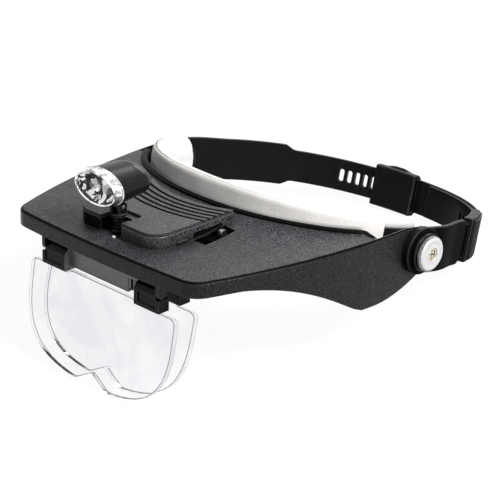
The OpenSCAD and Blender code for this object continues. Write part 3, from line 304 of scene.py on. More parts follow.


# Hard finishes: fine grain with specks, partly painted sheen; edge lines of wear and painted highlight; dust; and
# painted shade in corners and creases; a finish lists only what differs from the base
dustColour, creaseShadeColour = (0.32, 0.33), 0.0005
finishBase = {
    "grain": 900.0, "depth": 0.05, "waver": 0.1, "rough": 0.3, "metal": 0.0, "shine": 0.5, "dust": 0.1,
    "reach": 0.0005, "gain": 3.0,  # width and strength of the edge lines: wear and painted highlight
    "near": 0.003, "creaseShade": 0.6,  # reach and strength of the painted shade in corners and creases
}
finishSets = {
    # bright specks: grain, painted brighter to stand in for the sheen on the grained top
    "visorPlastic": {
        "colour": (0.006, 0.0075), "speckAndSheen": (0.088, 0.097), "edge": (0.24, 0.245),
        "grain": 1200.0, "depth": 0.8, "waver": 0.16, "rough": 0.38, "gain": 2.2,
        "near": 0.006, "creaseShade": 0.9, "shine": 0.12,
    },
    # painted shade: a darker copy of the visor plastic for its side faces
    "shadedSidePlastic": {
        "colour": (0.0022, 0.0028), "speckAndSheen": (0.030, 0.034), "edge": (0.18, 0.185),
        "grain": 1350.0, "depth": 0.5, "waver": 0.16, "dust": 0.02, "gain": 2.2,
        "near": 0.006, "creaseShade": 0.9, "shine": 0.16,
    },
    # painted shade: a darker copy of the strap plastic for faces turned away from the head
    "shadedOuterBlack": {
        "colour": 0.0011, "speckAndSheen": 0.0018, "edge": (0.20, 0.205),
        "waver": 0.15, "rough": 0.42, "dust": 0.0, "gain": 4.0, "shine": 0.01,
    },
    "blackPlastic": {
        "colour": (0.0075, 0.0068, 0.0070), "speckAndSheen": (0.010, 0.0092, 0.0094), "edge": (0.12, 0.125),
        "waver": 0.15, "rough": 0.26, "dust": 0.01, "gain": 5.0, "shine": 0.04,
    },
    "glossPlastic": {
        "colour": (0.003, 0.0032), "speckAndSheen": 0.005, "edge": (0.20, 0.205),
        "grain": 700.0, "depth": 0.03, "rough": 0.18, "dust": 0.02, "shine": 0.1,
    },
    # its edge colour is a painted dark line of shade along the lid's edges
    "lidPlastic": {
        "colour": (0.015, 0.017), "speckAndSheen": (0.110, 0.119), "edge": 0.004,
        "grain": 1250.0, "depth": 0.45, "waver": 0.14, "rough": 0.36, "dust": 0.05, "gain": 4.0,
        "near": 0.0022, "creaseShade": 1.0, "shine": 0.16,
    },
    "boxPlastic": {
        "colour": (0.008, 0.009), "speckAndSheen": (0.105, 0.114), "edge": (0.36, 0.37),
        "grain": 1500.0, "depth": 0.3, "waver": 0.14, "rough": 0.24, "dust": 0.02, "gain": 5.0,
        "near": 0.004, "creaseShade": 1.0, "shine": 0.55,
    },
    # painted shade: black for the shade line along the brow and round the top
    "shadeLineBlack": {
        "colour": 0.0006, "speckAndSheen": 0.0012, "edge": 0.012,
        "depth": 0.1, "rough": 0.45, "dust": 0.0, "gain": 1.0, "shine": 0.04,
    },
    # painted shade: black for the inside of the switch recess and what stands in it
    "recessShadeBlack": {
        "colour": 0.001, "speckAndSheen": 0.002, "edge": 0.004,
        "depth": 0.1, "rough": 0.6, "dust": 0.0, "shine": 0.05,
    },
    "bodyPlastic": {
        "colour": (0.006, 0.007), "speckAndSheen": (0.010, 0.011), "edge": (0.12, 0.125),
        "grain": 1100.0, "rough": 0.27, "dust": 0.02, "gain": 2.0, "shine": 0.12,
    },
    # painted light: a lighter copy of the holder's gloss plastic for the bar's lit front
    "litBarPlastic": {
        "colour": (0.23, 0.235), "speckAndSheen": (0.26, 0.265), "edge": (0.25, 0.255),
        "rough": 0.4, "dust": 0.03, "gain": 2.5,
    },
    "whiteStud": {
        "colour": (0.85, 0.84), "speckAndSheen": 0.95, "edge": 0.95, "creaseShade": 0.0,
    },
    "boardGreen": {
        "colour": (0.02, 0.09, 0.04), "speckAndSheen": (0.03, 0.12, 0.05), "edge": (0.2, 0.22, 0.14),
        "grain": 600.0, "rough": 0.35,
    },
    "cellSkin": {
        "colour": (0.35, 0.36, 0.10), "speckAndSheen": (0.38, 0.39, 0.12), "edge": (0.6, 0.5),
        "grain": 500.0, "depth": 0.02,
    },
    "steel": {
        "colour": (0.56, 0.57), "speckAndSheen": (0.62, 0.63), "edge": (0.75, 0.76),
        "grain": 1500.0, "depth": 0.08, "waver": 0.15, "rough": 0.28, "metal": 1.0,
    },
    "boltEnd": {
        "colour": (0.62, 0.60, 0.52), "speckAndSheen": (0.70, 0.68, 0.60), "edge": (0.85, 0.84, 0.78),
        "grain": 1500.0, "depth": 0.08, "waver": 0.15, "metal": 0.4, "near": 0.001, "creaseShade": 0.9,
    },
    "darkSteel": {
        "colour": (0.10, 0.105), "speckAndSheen": (0.13, 0.135), "edge": 0.3,
        "grain": 1500.0, "depth": 0.08, "waver": 0.15, "metal": 0.9,
    },
    "knobMetal": {
        "colour": (0.54, 0.55), "speckAndSheen": (0.66, 0.67), "edge": (0.30, 0.31),
        "grain": 2200.0, "depth": 0.25, "waver": 0.12, "rough": 0.36, "metal": 0.25, "gain": 1.5, "reach": 0.0003,
    },
    "brass": {
        "colour": (0.66, 0.60, 0.42), "speckAndSheen": (0.72, 0.66, 0.47), "edge": (0.85, 0.8, 0.6),
        "grain": 1800.0, "depth": 0.1, "waver": 0.15, "metal": 0.6,
    },
}


def hardFinish(tree, s):
    s = {**finishBase, **s}
    grain = effect(tree, "grain", Size=s["grain"], Depth=s["depth"], Waver=s["waver"])
    # grain specks; on the black plastics their bright colour is painted sheen
    tone = mixColour(tree, grain["Speck"], s["colour"], s["speckAndSheen"])
    # edge lines: wear and painted highlight, painted shade where the edge colour is dark
    tone = mixColour(tree, effect(tree, "edge", Reach=s["reach"], Gain=s["gain"])["Edge"], tone, s["edge"])
    tone = mixColour(tree, effect(tree, "dust", Amount=s["dust"])["Dust"], tone, dustColour)
    # painted shade: darker colour in corners, creases and recesses
    tone = mixColour(tree, effect(tree, "cavityShade", Reach=s["near"], Amount=s["creaseShade"])["Open"], creaseShadeColour, tone)
    rough = maths(tree, "ADD", s["rough"], grain["Sheen"], clamp=True)
    return {"Base Color": tone, "Roughness": rough, "Normal": grain["Normal"],
            "Metallic": s["metal"], "Specular IOR Level": s["shine"]}


makeMaterials(hardFinish, finishSets)

# Foam: fine pores, and painted shade darkening its seams and where it meets other parts
seamShadeColour, seamShadeReach = (0.06, 0.058, 0.056), 0.0028
foamFinishes = {
    "foam": {
        "pore": 1400.0, "depth": 0.12, "cells": 900.0, "rough": 0.85, "creaseShade": 0.9,
        "low": (0.74, 0.73), "high": (0.84, 0.83), "pores": (0.66, 0.65),
    },
    "foamWrap": {
        "pore": 1800.0, "depth": 0.06, "cells": 1400.0, "rough": 0.6, "creaseShade": 1.0,
        "low": (0.75, 0.73, 0.705), "high": (0.83, 0.81, 0.785), "pores": (0.52, 0.51, 0.50),
    },
}


def foamFinish(tree, s):
    grain = effect(tree, "grain", Size=s["pore"], Depth=s["depth"], Waver=0.1)
    cells = node(tree, "ShaderNodeTexVoronoi", {"Scale": s["cells"], "Vector": objectPlace(tree)}, feature="F1")
    spots = remap(tree, cells.outputs["Distance"], 0.0, 0.75, 0.6, 0.0)
    # painted shade in seams and where the foam meets other parts
    seamShade = effect(tree, "cavityShade", Reach=seamShadeReach, Amount=s["creaseShade"])["Open"]
    tone = mixColour(tree, spots, mixColour(tree, grain["Speck"], s["low"], s["high"]), s["pores"])
    return {"Base Color": mixColour(tree, seamShade, seamShadeColour, tone), "Normal": grain["Normal"],
            "Roughness": s["rough"], "Specular IOR Level": 0.25, "Sheen Weight": 0.15, "Sheen Roughness": 0.5}


makeMaterials(foamFinish, foamFinishes)

# Lens plates: clear, with painted shade making them greyer at a slant and along the edges, and soft pale veils
calmGrain = {"Size": 60.0, "Depth": 0.01, "Waver": 0.02}
clearFinishes = {
    "acrylic": {
        "blend": 0.3, "face": (0.955, 0.952, 0.97), "rim": (0.80, 0.83), "rough": 0.01, "ior": 1.17,
        "edge": (0.28, 0.30), "reach": 0.0009, "gain": 2.2, "veilSize": 26.0, "veil": 0.7,
    },
}


def clearFinish(tree, s):
    facing = node(tree, "ShaderNodeLayerWeight", {"Blend": s["blend"]}).outputs["Facing"]
    veil = noise(tree, Scale=s["veilSize"], Detail=0.0, Distortion=2.4)
    tone = mixColour(tree, facing, s["face"], s["rim"])
    tone = mixColour(tree, remap(tree, veil, 0.49, 0.54, 0.0, s["veil"]), tone, 1.0)
    tone = mixColour(tree, effect(tree, "edge", Reach=s["reach"], Gain=s["gain"])["Edge"], tone, s["edge"])
    return {"Base Color": tone, "Normal": effect(tree, "grain", **calmGrain)["Normal"],
            "Roughness": s["rough"], "IOR": s["ior"], "Transmission Weight": 1.0}


makeMaterials(clearFinish, clearFinishes)

# Chrome with painted reflection: bright and dark patches of a room in its colour
patchFinishes = {
    "mirrorBowl": {
        "size": 130.0, "low": 0.475, "high": 0.50, "rough": 0.15, "metal": 0.8,
        "dark": (0.012, 0.013), "bright": (0.95, 0.96),
    },
    "bezelChrome": {
        "size": 95.0, "low": 0.36, "high": 0.52, "rough": 0.12, "metal": 0.9,
        "dark": (0.30, 0.31), "bright": (0.96, 0.97),
    },
}


def patchFinish(tree, s):
    field = noise(tree, Scale=s["size"], Detail=2.0, Roughness=0.45, Distortion=1.6)
    tone = mixColour(tree, remap(tree, field, s["low"], s["high"]), s["dark"], s["bright"])
    return {"Base Color": tone, "Roughness": s["rough"], "Metallic": s["metal"]}


makeMaterials(patchFinish, patchFinishes)

# Thin clear parts that only cover part of what is behind them
coverFinishes = {
    # painted shade: dark lines for the plates' narrow faces
    "lensLine": {"colour": (0.13, 0.14), "rough": 0.2, "ior": 1.3, "cover": 0.75},
    "window": {"colour": (0.9, 0.92), "rough": 0.05, "ior": 1.15, "cover": 0.03},
    "lensDome": {"colour": (0.93, 0.95), "rough": 0.08, "ior": 1.4, "cover": 0.35},
}


def coverFinish(tree, s):
    return {"Base Color": s["colour"], "Normal": effect(tree, "grain", **calmGrain)["Normal"],
            "Roughness": s["rough"], "IOR": s["ior"], "Alpha": s["cover"]}


makeMaterials(coverFinish, coverFinishes)
say("materials made")

# Floor and world look white to the camera, to mirrors and through clear plastic, and light the part plainly
stageSet = {
    "size": 6.0, "sink": 0.0002, "white": 0.93, "fill": 0.10, "bounce": 0.32, "worldSeen": 0.96, "worldLight": 0.05,
    "rise": (-0.2, 0.9, 0.35, 1.25),  # from low to high in the world, and the share of its light there
}


def emptyTree(owner):
    owner.use_nodes = True
    owner.node_tree.nodes.clear()
    return owner.node_tree


def endTree(tree, outputKind, plain, seen):
    rays = node(tree, "ShaderNodeLightPath").outputs
    pick = maths(tree, "MAXIMUM", rays["Is Camera Ray"], rays["Is Glossy Ray"])
    pick = maths(tree, "MAXIMUM", pick, rays["Is Transmission Ray"])
    both = node(tree, "ShaderNodeMixShader", {0: pick, 1: plain.outputs[0], 2: seen.outputs[0]})
    node(tree, outputKind, {"Surface": both.outputs[0]})


def makeFloor(s):
    half, z = s["size"] / 2, -s["sink"]
    mesh = bpy.data.meshes.new("floor")
    mesh.from_pydata([(-half, -half, z), (half, -half, z), (half, half, z), (-half, half, z)], [], [(0, 1, 2, 3)])
    mesh.materials.append(bpy.data.materials.new("floor"))
    tree = emptyTree(mesh.materials[0])
    plain = node(tree, "ShaderNodeBsdfDiffuse", {"Color": s["bounce"]})
    faint = node(tree, "ShaderNodeBsdfDiffuse", {"Color": s["fill"]})
    glow = node(tree, "ShaderNodeEmission", {"Strength": s["white"]})
    seen = node(tree, "ShaderNodeAddShader", {0: faint.outputs[0], 1: glow.outputs[0]})
    endTree(tree, "ShaderNodeOutputMaterial", plain, seen)
    return addPiece("floor", mesh)


def makeWorld(s):
    world = bpy.data.worlds.new("studio")
    bpy.context.scene.world = world
    tree = emptyTree(world)
    height = node(tree, "ShaderNodeSeparateXYZ", {0: objectPlace(tree)}).outputs["Z"]
    light = maths(tree, "MULTIPLY", remap(tree, height, *s["rise"]), s["worldLight"])
    seen = node(tree, "ShaderNodeBackground", {"Color": 1.0, "Strength": s["worldSeen"]})
    endTree(tree, "ShaderNodeOutputWorld", node(tree, "ShaderNodeBackground", {"Strength": light}), seen)


lightSets = {
    "keyBox": {"place": (1.12, 0.10, 1.15), "aim": (0.0, 0.0, 0.05), "wide": 0.5, "tall": 0.5, "power": 39.0},
    "backBox": {"place": (-0.45, 1.05, 0.66), "aim": (0.05, -0.05, 0.06), "wide": 0.6, "tall": 0.4, "power": 5.0},
    "topBox": {"place": (-0.25, 0.05, 1.40), "aim": (0.0, 0.0, 0.05), "wide": 0.9, "tall": 0.9, "power": 4.0},
    "sideBox": {"place": (-0.95, -0.95, 0.55), "aim": (0.0, 0.0, 0.05), "wide": 0.3, "tall": 1.0, "power": 0.9},
    "lowBox": {"place": (1.08, -0.55, 0.13), "aim": (0.0, -0.05, 0.08), "wide": 0.18, "tall": 0.2, "power": 0.9},
}


def makeLight(name, s):
    data = bpy.data.lights.new(name, "AREA")
    data.shape = "RECTANGLE"
    data.size, data.size_y, data.energy = s["wide"], s["tall"], s["power"]
    lamp = addPiece(name, data)
    lamp.location = s["place"]
    lamp.rotation_euler = (Vector(s["aim"]) - Vector(s["place"])).to_track_quat("-Z", "Y").to_euler()
    lamp.visible_camera = False


floor = makeFloor(stageSet)
makeWorld(stageSet)
for lightName, lightSet in lightSets.items():
    makeLight(lightName, lightSet)
say("stage set")


# Plain closed forms in millimetres, as (corners, faces)
def loft(loops, closed=False):
    n, last = len(loops[0]), len(loops) - 1
    corners = [tuple(p) for loop in loops for p in loop]
    faces = []
    for j in range(last + closed):
        a, b = j * n, (j + 1) % len(loops) * n
        faces += [(a + i, a + (i + 1) % n, b + (i + 1) % n, b + i) for i in range(n)]
    if not closed:
        faces += [tuple(range(n - 1, -1, -1)), tuple(range(last * n, last * n + n))]
    return corners, faces


def prism(outline, low, high):
    return loft([[(x, y, z) for x, y in outline] for z in (low, high)])


def block(x0, x1, y0, y1, z0, z1):
    return prism([(x0, y0), (x1, y0), (x1, y1), (x0, y1)], z0, z1)


def turns(count):
    return [2 * math.pi * i / count for i in range(count)]


def rod(start, end, radius, count=40):
    start, end = Vector(start), Vector(end)
    along = (end - start).normalized()
    side = along.orthogonal().normalized()
    other = along.cross(side)
    ring = [side * math.cos(a) + other * math.sin(a) for a in turns(count)]
    return loft([[spot + r * radius for r in ring] for spot in (start, end)])


def post(spot, low, high, radius, count=40):
    return rod((*spot, low), (*spot, high), radius, count)


# A profile of (along X, radius) turned about the X axis: hollow, or solid with closed ends
def spun(x, r, a):
    return x, r * math.cos(a), r * math.sin(a)


def lathe(profile, side=1, count=72):
    return loft([[spun(side * x, r, a) for x, r in profile] for a in turns(count)], closed=True)


def turned(profile, side):
    return loft([[spun(side * x, r, a) for a in turns(48)] for x, r in profile])


def arcPoints(cx, cy, r, start, end, count):
    angles = [math.radians(start + (end - start) * i / count) for i in range(count + 1)]
    return [(cx + r * math.cos(a), cy + r * math.sin(a)) for a in angles]


def bezier(a, b, c, d, count):
    out = []
    for t in (i / count for i in range(count + 1)):
        u = 1 - t
        weights = (u**3, 3 * u * u * t, 3 * u * t * t, t**3)
        out.append(tuple(sum(w * p for w, p in zip(weights, axis)) for axis in zip(a, b, c, d)))
    return out


def pieceOf(name, forms, matrix=seat):
    corners, faces = [], []
    for c, f in forms:
        base = len(corners)
        corners += c
        faces += [tuple(base + i for i in face) for face in f]
    mesh = bpy.data.meshes.new(name)
    mesh.from_pydata(corners, [], faces)
    mesh.transform(matrix)
    bm = bmesh.new()
    bm.from_mesh(mesh)
    bmesh.ops.recalc_face_normals(bm, faces=bm.faces)
    bm.to_mesh(mesh)
    bm.free()
    return addPiece(name, mesh)


def hollow(name, outer, inner):
    return cutWith(pieceOf(name, [outer]), pieceOf(name + "Cut", [inner]))


# Visor shell: flat top, raised brow, rounded shoulder, lip, temple arms, and the walls that stand on it
# The line of the front band, which the brow and the foam follow, and the depth of the foam outside it
bandSet = {"centre": 13.6, "half": 86.2, "reach": 76.0, "power": 2.3, "wrap": 2.6}
shellSet = {
    "front": 65.0, "rear": 89.0, "length": 136.0, "power": 2.15,  # half widths and the swell of the sides
    "bow": 2.5, "corner": 12.0, "turn": 18.8,  # front edge and its corners
    "wall": 2.2, "shoulder": 1.9, "armShoulder": 1.3, "armFrom": -48.0, "armOver": 20.0,
    "lip": 8.2, "end": 12.1, "endTurn": 86, "dip": 1.6, "dipFrom": -9.0,  # front wall and the ends of the arms
    "scoop": ((-112, -8.2), (-72, -12.0), (-46, -35.8), (-40, -35.8)),  # lower edge of the arm, as (y, z)
    "heel": ((-34, -35.8), (-22, -36.2), (-6, -31.2), (6.05, -24.18)),
    "armStops": (-25, -20, -15, -11, -9, -6, -3, 0),
    "rise": 6.0, "sink": 0.05, "browStart": -100.0, "browStop": -30.0, "browInset": 1.1,
    "clear": 1.2, "padHalf": 15.0, "rows": 14, "across": 36,
}
beadSet = {
    "reach": 0.985, "steps": 60, "taper": 0.06,
    "section": [(0.15, -0.9), (0.1, 0.15), (0.55, 0.46), (1.5, 0.55), (2.5, 0.42), (3.15, 0.02), (3.3, -0.7)],
}
boxSet = {
    "right": -32.5, "left": 26.4, "front": -124.0, "rear": -70.6, "sag": 7.4, "corner": 9.5, "wall": 1.5,
    "sink": 1.2, "top": 6.85, "notchRight": -13.2, "notchLeft": 1.9, "bayFront": -114.4,
    "openFrom": 25.25, "openInset": 0.6, "openTop": 3.4,  # side opening towards the switch
    "stop": (25.9, 27.4, -109.0, -103.0, -1, 1.6),  # small block in front of the opening
}
recessSet = {
    "x0": 26.0, "x1": 35.1, "y0": -98.8, "y1": -77.5, "depth": 6.0, "wall": 1.2, "rim": -0.8,
    "ledge": 8.5, "ledgeLow": -1.9, "ledgeHigh": 0.35,
}
lugSet = {"inner": 40.8, "outer": 43.0, "y": -134.6, "z": -12.8, "round": 2.6, "top": -1.0}
lampSpot = (-6.0, -118.5)
holeSet = {
    "bay": (-30.7, 24.6, -114.4, -79.5), "post": 2.35, "wireSpot": (-1.3, -123.6), "wire": 0.8, "bolt": 2.6,
    "boss": 4.6, "bossLow": -7, "bossHigh": -1,
}
studSet = {"spot": (-2.4, -124.9), "low": -0.3, "high": 0.55, "radius": 0.95}
rimSet = {"front": 4, "side": 2.4, "low": -2.2, "high": 0.1, "steep": 0.5, "flat": 0.97}  # painted shade: black line round the top, on the rounded shoulder
shellEdge, wallEdge = 0.35, 0.45
margin = 0.2  # how far past a nominal face its painted faces are looked for


def halfWidth(y):
    s = shellSet
    t = min(1.0, max(0.0, (y + s["length"]) / s["length"]))
    return s["front"] + (s["rear"] - s["front"]) * (1 - (1 - t) ** s["power"])


browReach = halfWidth(shellSet["browStop"]) - shellSet["browInset"]
lowerCurve = [(-150.0, -shellSet["lip"])] + bezier(*shellSet["scoop"], 24) + bezier(*shellSet["heel"], 16)
lowerY, lowerZ = zip(*lowerCurve)


def lowerEdge(y):
    if y > lowerY[-1]:
        return knobZ - math.sqrt(max(0.0, shellSet["end"] ** 2 - y * y))
    return float(np.interp(y, lowerY, lowerZ))


def upperEdge(y):
    s = shellSet
    if y > 0:
        return knobZ + math.sqrt(max(0.0, s["end"] ** 2 - y * y))
    return 0.0 if y < s["dipFrom"] else s["dip"] * (y - s["dipFrom"]) / s["dipFrom"]


# Outer face of the foam, seen from above
def padLine(x):
    s = bandSet
    share = max(0.0, 1 - (abs(x) / (s["half"] + s["wrap"])) ** s["power"]) ** (1 / s["power"])
    return s["centre"] - (s["reach"] + s["wrap"]) * share


def browTop(u):
    s = shellSet
    return -s["sink"] + (s["rise"] + s["sink"]) * (1 - u**4)


# The brow keeps clear of the foam as the visor turns on its bolts
def browEdge(u):
    s = shellSet
    r = math.hypot(padLine(u * browReach), s["padHalf"]) + s["clear"]
    z = browTop(u) - knobZ
    return min(s["browStop"], -math.sqrt(max(0.0, r * r - z * z)))


# Half of the outline from above, from the middle of the front to the end of the arm
def shellHalf(s):
    cornerY = -s["length"] - 0.25 * s["bow"] + s["corner"]
    turn = math.radians(s["turn"])
    sideStart = cornerY - s["corner"] * math.sin(turn)
    cornerX = halfWidth(sideStart) - s["corner"] * math.cos(turn)
    frontX = [cornerX * i / 15 for i in range(15)]
    half = [(x, cornerY - s["corner"] - 0.75 * s["bow"] * (1 - (x / cornerX) ** 2)) for x in frontX]
    half += arcPoints(cornerX, cornerY, s["corner"], -90, -s["turn"], 14)
    sideY = [sideStart + (s["browStart"] - sideStart) * i / 8 for i in range(1, 8)]
    browFirst = len(half) + len(sideY)
    sideY += [s["browStart"] + (s["browStop"] - s["browStart"]) * j / s["rows"] for j in range(s["rows"] + 1)]
    sideY += s["armStops"]
    sideY += [s["end"] * math.sin(math.radians(s["endTurn"] * k / 12)) for k in range(1, 13)]
    return half + [(halfWidth(y), y) for y in sideY], browFirst


# Rounded shoulder and side wall below one point of the outline
def shellColumn(line, i, s):
    x, y = line[i]
    (px, py), (qx, qy) = line[max(0, i - 1)], line[min(len(line) - 1, i + 1)]
    n = math.hypot(qx - px, qy - py)
    nx, ny = (qy - py) / n, (px - qx) / n
    high, low = upperEdge(y), lowerEdge(y)
    arm = min(1.0, max(0.0, (y - s["armFrom"]) / s["armOver"]))
    r = min(s["shoulder"] * (1 - arm) + s["armShoulder"] * arm, (high - low) * 0.3)
    points = []
    for a in (math.pi / 2 * k / 6 for k in range(7)):
        inset = r * (1 - math.sin(a))
        points.append((x - nx * inset, y - ny * inset, high - r * (1 - math.cos(a))))
    return points + [(x, y, high - r + (low - high + r) * k / 8) for k in range(1, 9)]


def shellSheet(s):
    half, browFirst = shellHalf(s)
    line = [(-x, y) for x, y in reversed(half[1:])] + half
    mid = len(half) - 1
    columns = [shellColumn(line, i, s) for i in range(len(line))]
    deep = len(columns[0])
    corners = [p for column in columns for p in column]
    starts = [i * deep for i in range(len(columns))]
    faces = [(a + k, a + k + 1, b + k + 1, b + k) for a, b in zip(starts, starts[1:]) for k in range(deep - 1)]
    grid = []
    for j in range(s["rows"] + 1):
        left, right = starts[mid - browFirst - j], starts[mid + browFirst + j]
        sideX, sideY, _ = corners[right]
        f = j / s["rows"]
        bend = sideY - (s["browStart"] + f * (s["browStop"] - s["browStart"]))
        row = [left]
        for u in (-1 + 2 * k / s["across"] for k in range(1, s["across"])):
            row.append(len(corners))
            y = s["browStart"] + f * (browEdge(u) - s["browStart"]) + bend * u**4
            corners.append((u * sideX, y, browTop(u) * f * f))
        grid.append(row + [right])
    for a, b in zip(grid, grid[1:]):
        faces += [(a[k], a[k + 1], b[k + 1], b[k]) for k in range(s["across"])]
    faces.append(tuple(starts[mid - browFirst:mid + browFirst + 1] + grid[0][-2:0:-1]))
    return corners, faces


def boxOutline(s, inset):
    mid, half = (s["left"] + s["right"]) / 2, (s["left"] - s["right"]) / 2
    rearR = (half * half + s["sag"] ** 2) / (2 * s["sag"])
    x0, x1, y0, r = s["right"] + inset, s["left"] - inset, s["front"] + inset, s["corner"] - inset
    edge = math.degrees(math.acos((x1 - mid) / (rearR + inset)))
    out = arcPoints(x1 - r, y0 + r, r, -90, 0, 12)
    out += arcPoints(mid, s["rear"] - s["sag"] + rearR, rearR + inset, -edge, -180 + edge, 28)
    return out + arcPoints(x0 + r, y0 + r, r, 180, 270, 12)


# Walls of the battery box, turned inwards along both sides of the notch for the lamp post
def boxWalls(s):
    w, front, bay, right, left = s["wall"], s["front"], s["bayFront"], s["notchRight"], s["notchLeft"]
    path = [(left, front)] + boxOutline(s, 0.0)
    path += [(right, front), (right, bay), (right - w, bay), (right - w, front + w)] + boxOutline(s, w)[::-1]
    path += [(left + w, front + w), (left + w, bay), (left, bay)]
    return prism(path, -s["sink"], s["top"])


# Bead along the edge of the brow, painted black as the shade in the gap before the foam
def browBead(s):
    loops, step = [], 0.01
    for u in (s["reach"] * (2 * k / s["steps"] - 1) for k in range(s["steps"] + 1)):
        x, y, z = u * browReach, browEdge(u), browTop(u)
        d, run = browEdge(u + step) - browEdge(u - step), 2 * step * browReach
        n = math.hypot(d, run)
        fade = min(1.0, (1 - abs(u)) / s["taper"] + 0.25)
        loops.append([(x + d / n * a * fade, y - run / n * a * fade, z + b * fade) for a, b in s["section"]])
    return loft(loops)


def shellCutters(h, r):
    return [
        block(*h["bay"], -20, 20),
        block(r["x0"], r["x1"], r["y0"], r["y1"], -5, 20),
        post(lampSpot, -20, 20, h["post"]),
        post(h["wireSpot"], -20, 20, h["wire"], 20),
        *(rod((x, 0, knobZ), (x + 15, 0, knobZ), h["bolt"]) for x in (-95, 80)),
    ]


def hingeLugs(s):
    loop = arcPoints(s["y"], s["z"], s["round"], 180, 360, 16)
    loop += [(s["y"] + s["round"], s["top"]), (s["y"] - s["round"], s["top"])]
    sides = ((-s["outer"], -s["inner"]), (s["inner"], s["outer"]))
    return [loft([[(x, y, z) for y, z in loop] for x in pair]) for pair in sides]


def makeShell():
    s, r, b, h = shellSet, recessSet, boxSet, holeSet
    mesh = bpy.data.meshes.new("visorShell")
    corners, faces = shellSheet(s)
    mesh.from_pydata(corners, [], faces)
    mesh.transform(seat)
    shell = addPiece("visorShell", mesh)
    m = shell.modifiers.new("thick", "SOLIDIFY")
    m.thickness, m.offset, m.use_even_offset, m.use_rim = s["wall"] / 1000, -1.0, True, True
    bake(shell)
    cutWith(shell, pieceOf("shellCut", shellCutters(h, r)))
    x0, x1, y0, y1, w = r["x0"], r["x1"], r["y0"], r["y1"], r["wall"]
    room = block(x0, x1, y0, y1, -r["depth"], 5)
    tub = hollow("tub", block(x0 - w, x1 + w, y0 - w, y1 + w, -r["depth"] - w, r["rim"]), room)
    ledge = hollow("ledge", block(x0 - w, x1 + w, y1 - r["ledge"], y1 + w, r["ledgeLow"], r["ledgeHigh"]), room)
    low, high = h["bossLow"], h["bossHigh"]
    boss = hollow("boss", post(lampSpot, low, high, h["boss"]), post(lampSpot, low - 2, high + 2, h["post"]))
    extras = pieceOf("extras", hingeLugs(lugSet) + [block(*b["stop"])])
    opening = block(b["openFrom"], x0 + 2, y0 + b["openInset"], y1 - b["openInset"], -5, b["openTop"])
    walls = soften(hollow("walls", boxWalls(b), opening), wallEdge, 3)
    joinTo(shell, ledge, boss, extras)
    soften(shell, shellEdge, 2, 40)
    bead = pieceOf("bead", [browBead(beadSet)])
    stud = pieceOf("stud", [post(studSet["spot"], studSet["low"], studSet["high"], studSet["radius"], 24)])
    spans = {"sheet": range(len(shell.data.polygons))}  # which faces came from which part
    for name, part in (("tub", tub), ("walls", walls), ("bead", bead), ("stud", stud)):
        first = len(shell.data.polygons)
        joinTo(shell, part)
        spans[name] = range(first, len(shell.data.polygons))
    smooth(shell, 40)
    return evenNormals(shell), spans


def inVisor(face):
    return seatBack @ face.center


# Wall faces beside the opening to the switch, painted black as shade
def sideOpening(face):
    c, r, b = inVisor(face), recessSet, boxSet
    beside = b["openFrom"] - margin < c.x < r["x0"] + margin and r["y0"] < c.y < r["y1"]
    return face.index in spans["walls"] and beside and c.z < b["openTop"] + margin


# Side faces of the wall block left of the lamp post, painted in the darker gloss plastic as shade
def postBlock(face):
    c = inVisor(face)
    corner = c.x < boxSet["notchRight"] + margin and c.y < -100
    return face.index in spans["walls"] and corner and face.normal.z < rimSet["steep"]


def topShadeLine(face):
    c, s = inVisor(face), rimSet
    outside = c.y < -shellSet["length"] + s["front"] or abs(c.x) > halfWidth(c.y) - s["side"]
    rounded = s["steep"] < face.normal.z < s["flat"] and s["low"] < c.z < s["high"]
    return face.index in spans["sheet"] and rounded and outside


shell, spans = makeShell()
settle(shell, "visorPlastic", "visor_shell")
# the bead is painted black as shade, the tub of the switch recess black as its shade
partMats = {"tub": "recessShadeBlack", "walls": "boxPlastic", "bead": "shadeLineBlack", "stud": "whiteStud"}
for partName, partMat in partMats.items():
    paintFaces(shell, partMat, lambda face: face.index in spans[partName])
paintFaces(shell, "recessShadeBlack", sideOpening)
paintFaces(shell, "glossPlastic", postBlock)
# painted shade along the rounded shoulder round the top
paintFaces(shell, "shadeLineBlack", topShadeLine)
# painted shade: the side faces of the shell get the darker copy
paintFaces(shell, "shadedSidePlastic", lambda face: face.index in spans["sheet"] and face.normal.z <= rimSet["steep"])
say("visor shell made")

# Foam sweatband: an inner pad the whole way round and an outer wrap that stops short of the temples
# Both sections are given as (depth, distance below the top), outwards positive
foamSet = {
    "half": 15.4, "inner": -8.1, "fine": 0.55, "wrapEnd": -20.0, "ease": 0.35,
    "padRound": 8.0, "padEnd": 0.12, "padPinch": 0.35, "wrapRound": 1.2, "wrapEndHigh": 0.955,  # how the ends close
    "lump": 0.05, "lumpInside": 1.8, "insideFrom": -4,
    "waves": [(1.0, 0.21, 0.0, 0.17, 0.0), (0.6, 0.47, -0.9, 0.0, 1.3), (0.4, 0.09, 0.0, 0.61, 0.0)],
    "temple": [(84.9, -4.5), (85.4, 0.0), (85.5, 3.0)],
    "padSection": [(-1.3, 0.15), (-3.0, 0.3), (-4.6, 1.1), (-6.2, 3.0), (-7.3, 6.2), (-7.9, 10.0)],
    "wrapSection": [(2.6, 3.0), (2.5, 2.0), (2.2, 1.15), (1.8, 0.65), (1.45, 0.62), (1.22, 0.85), (1.1, 1.25),
                    (0.95, 0.8), (0.7, 0.35), (0.2, 0.12), (-1.4, 0.15)],
}


def bandPath(s):
    power = 2 / s["power"]
    half = []
    for a in (math.radians(-90 + i) for i in range(77)):
        half.append((s["half"] * abs(math.cos(a)) ** power, s["centre"] - s["reach"] * abs(math.sin(a)) ** power))
    half += foamSet["temple"]
    return [(-x, y) for x, y in reversed(half[1:])] + half


def runAlong(points):
    return np.concatenate([[0], np.cumsum(np.hypot(*np.diff(points, axis=0).T))])


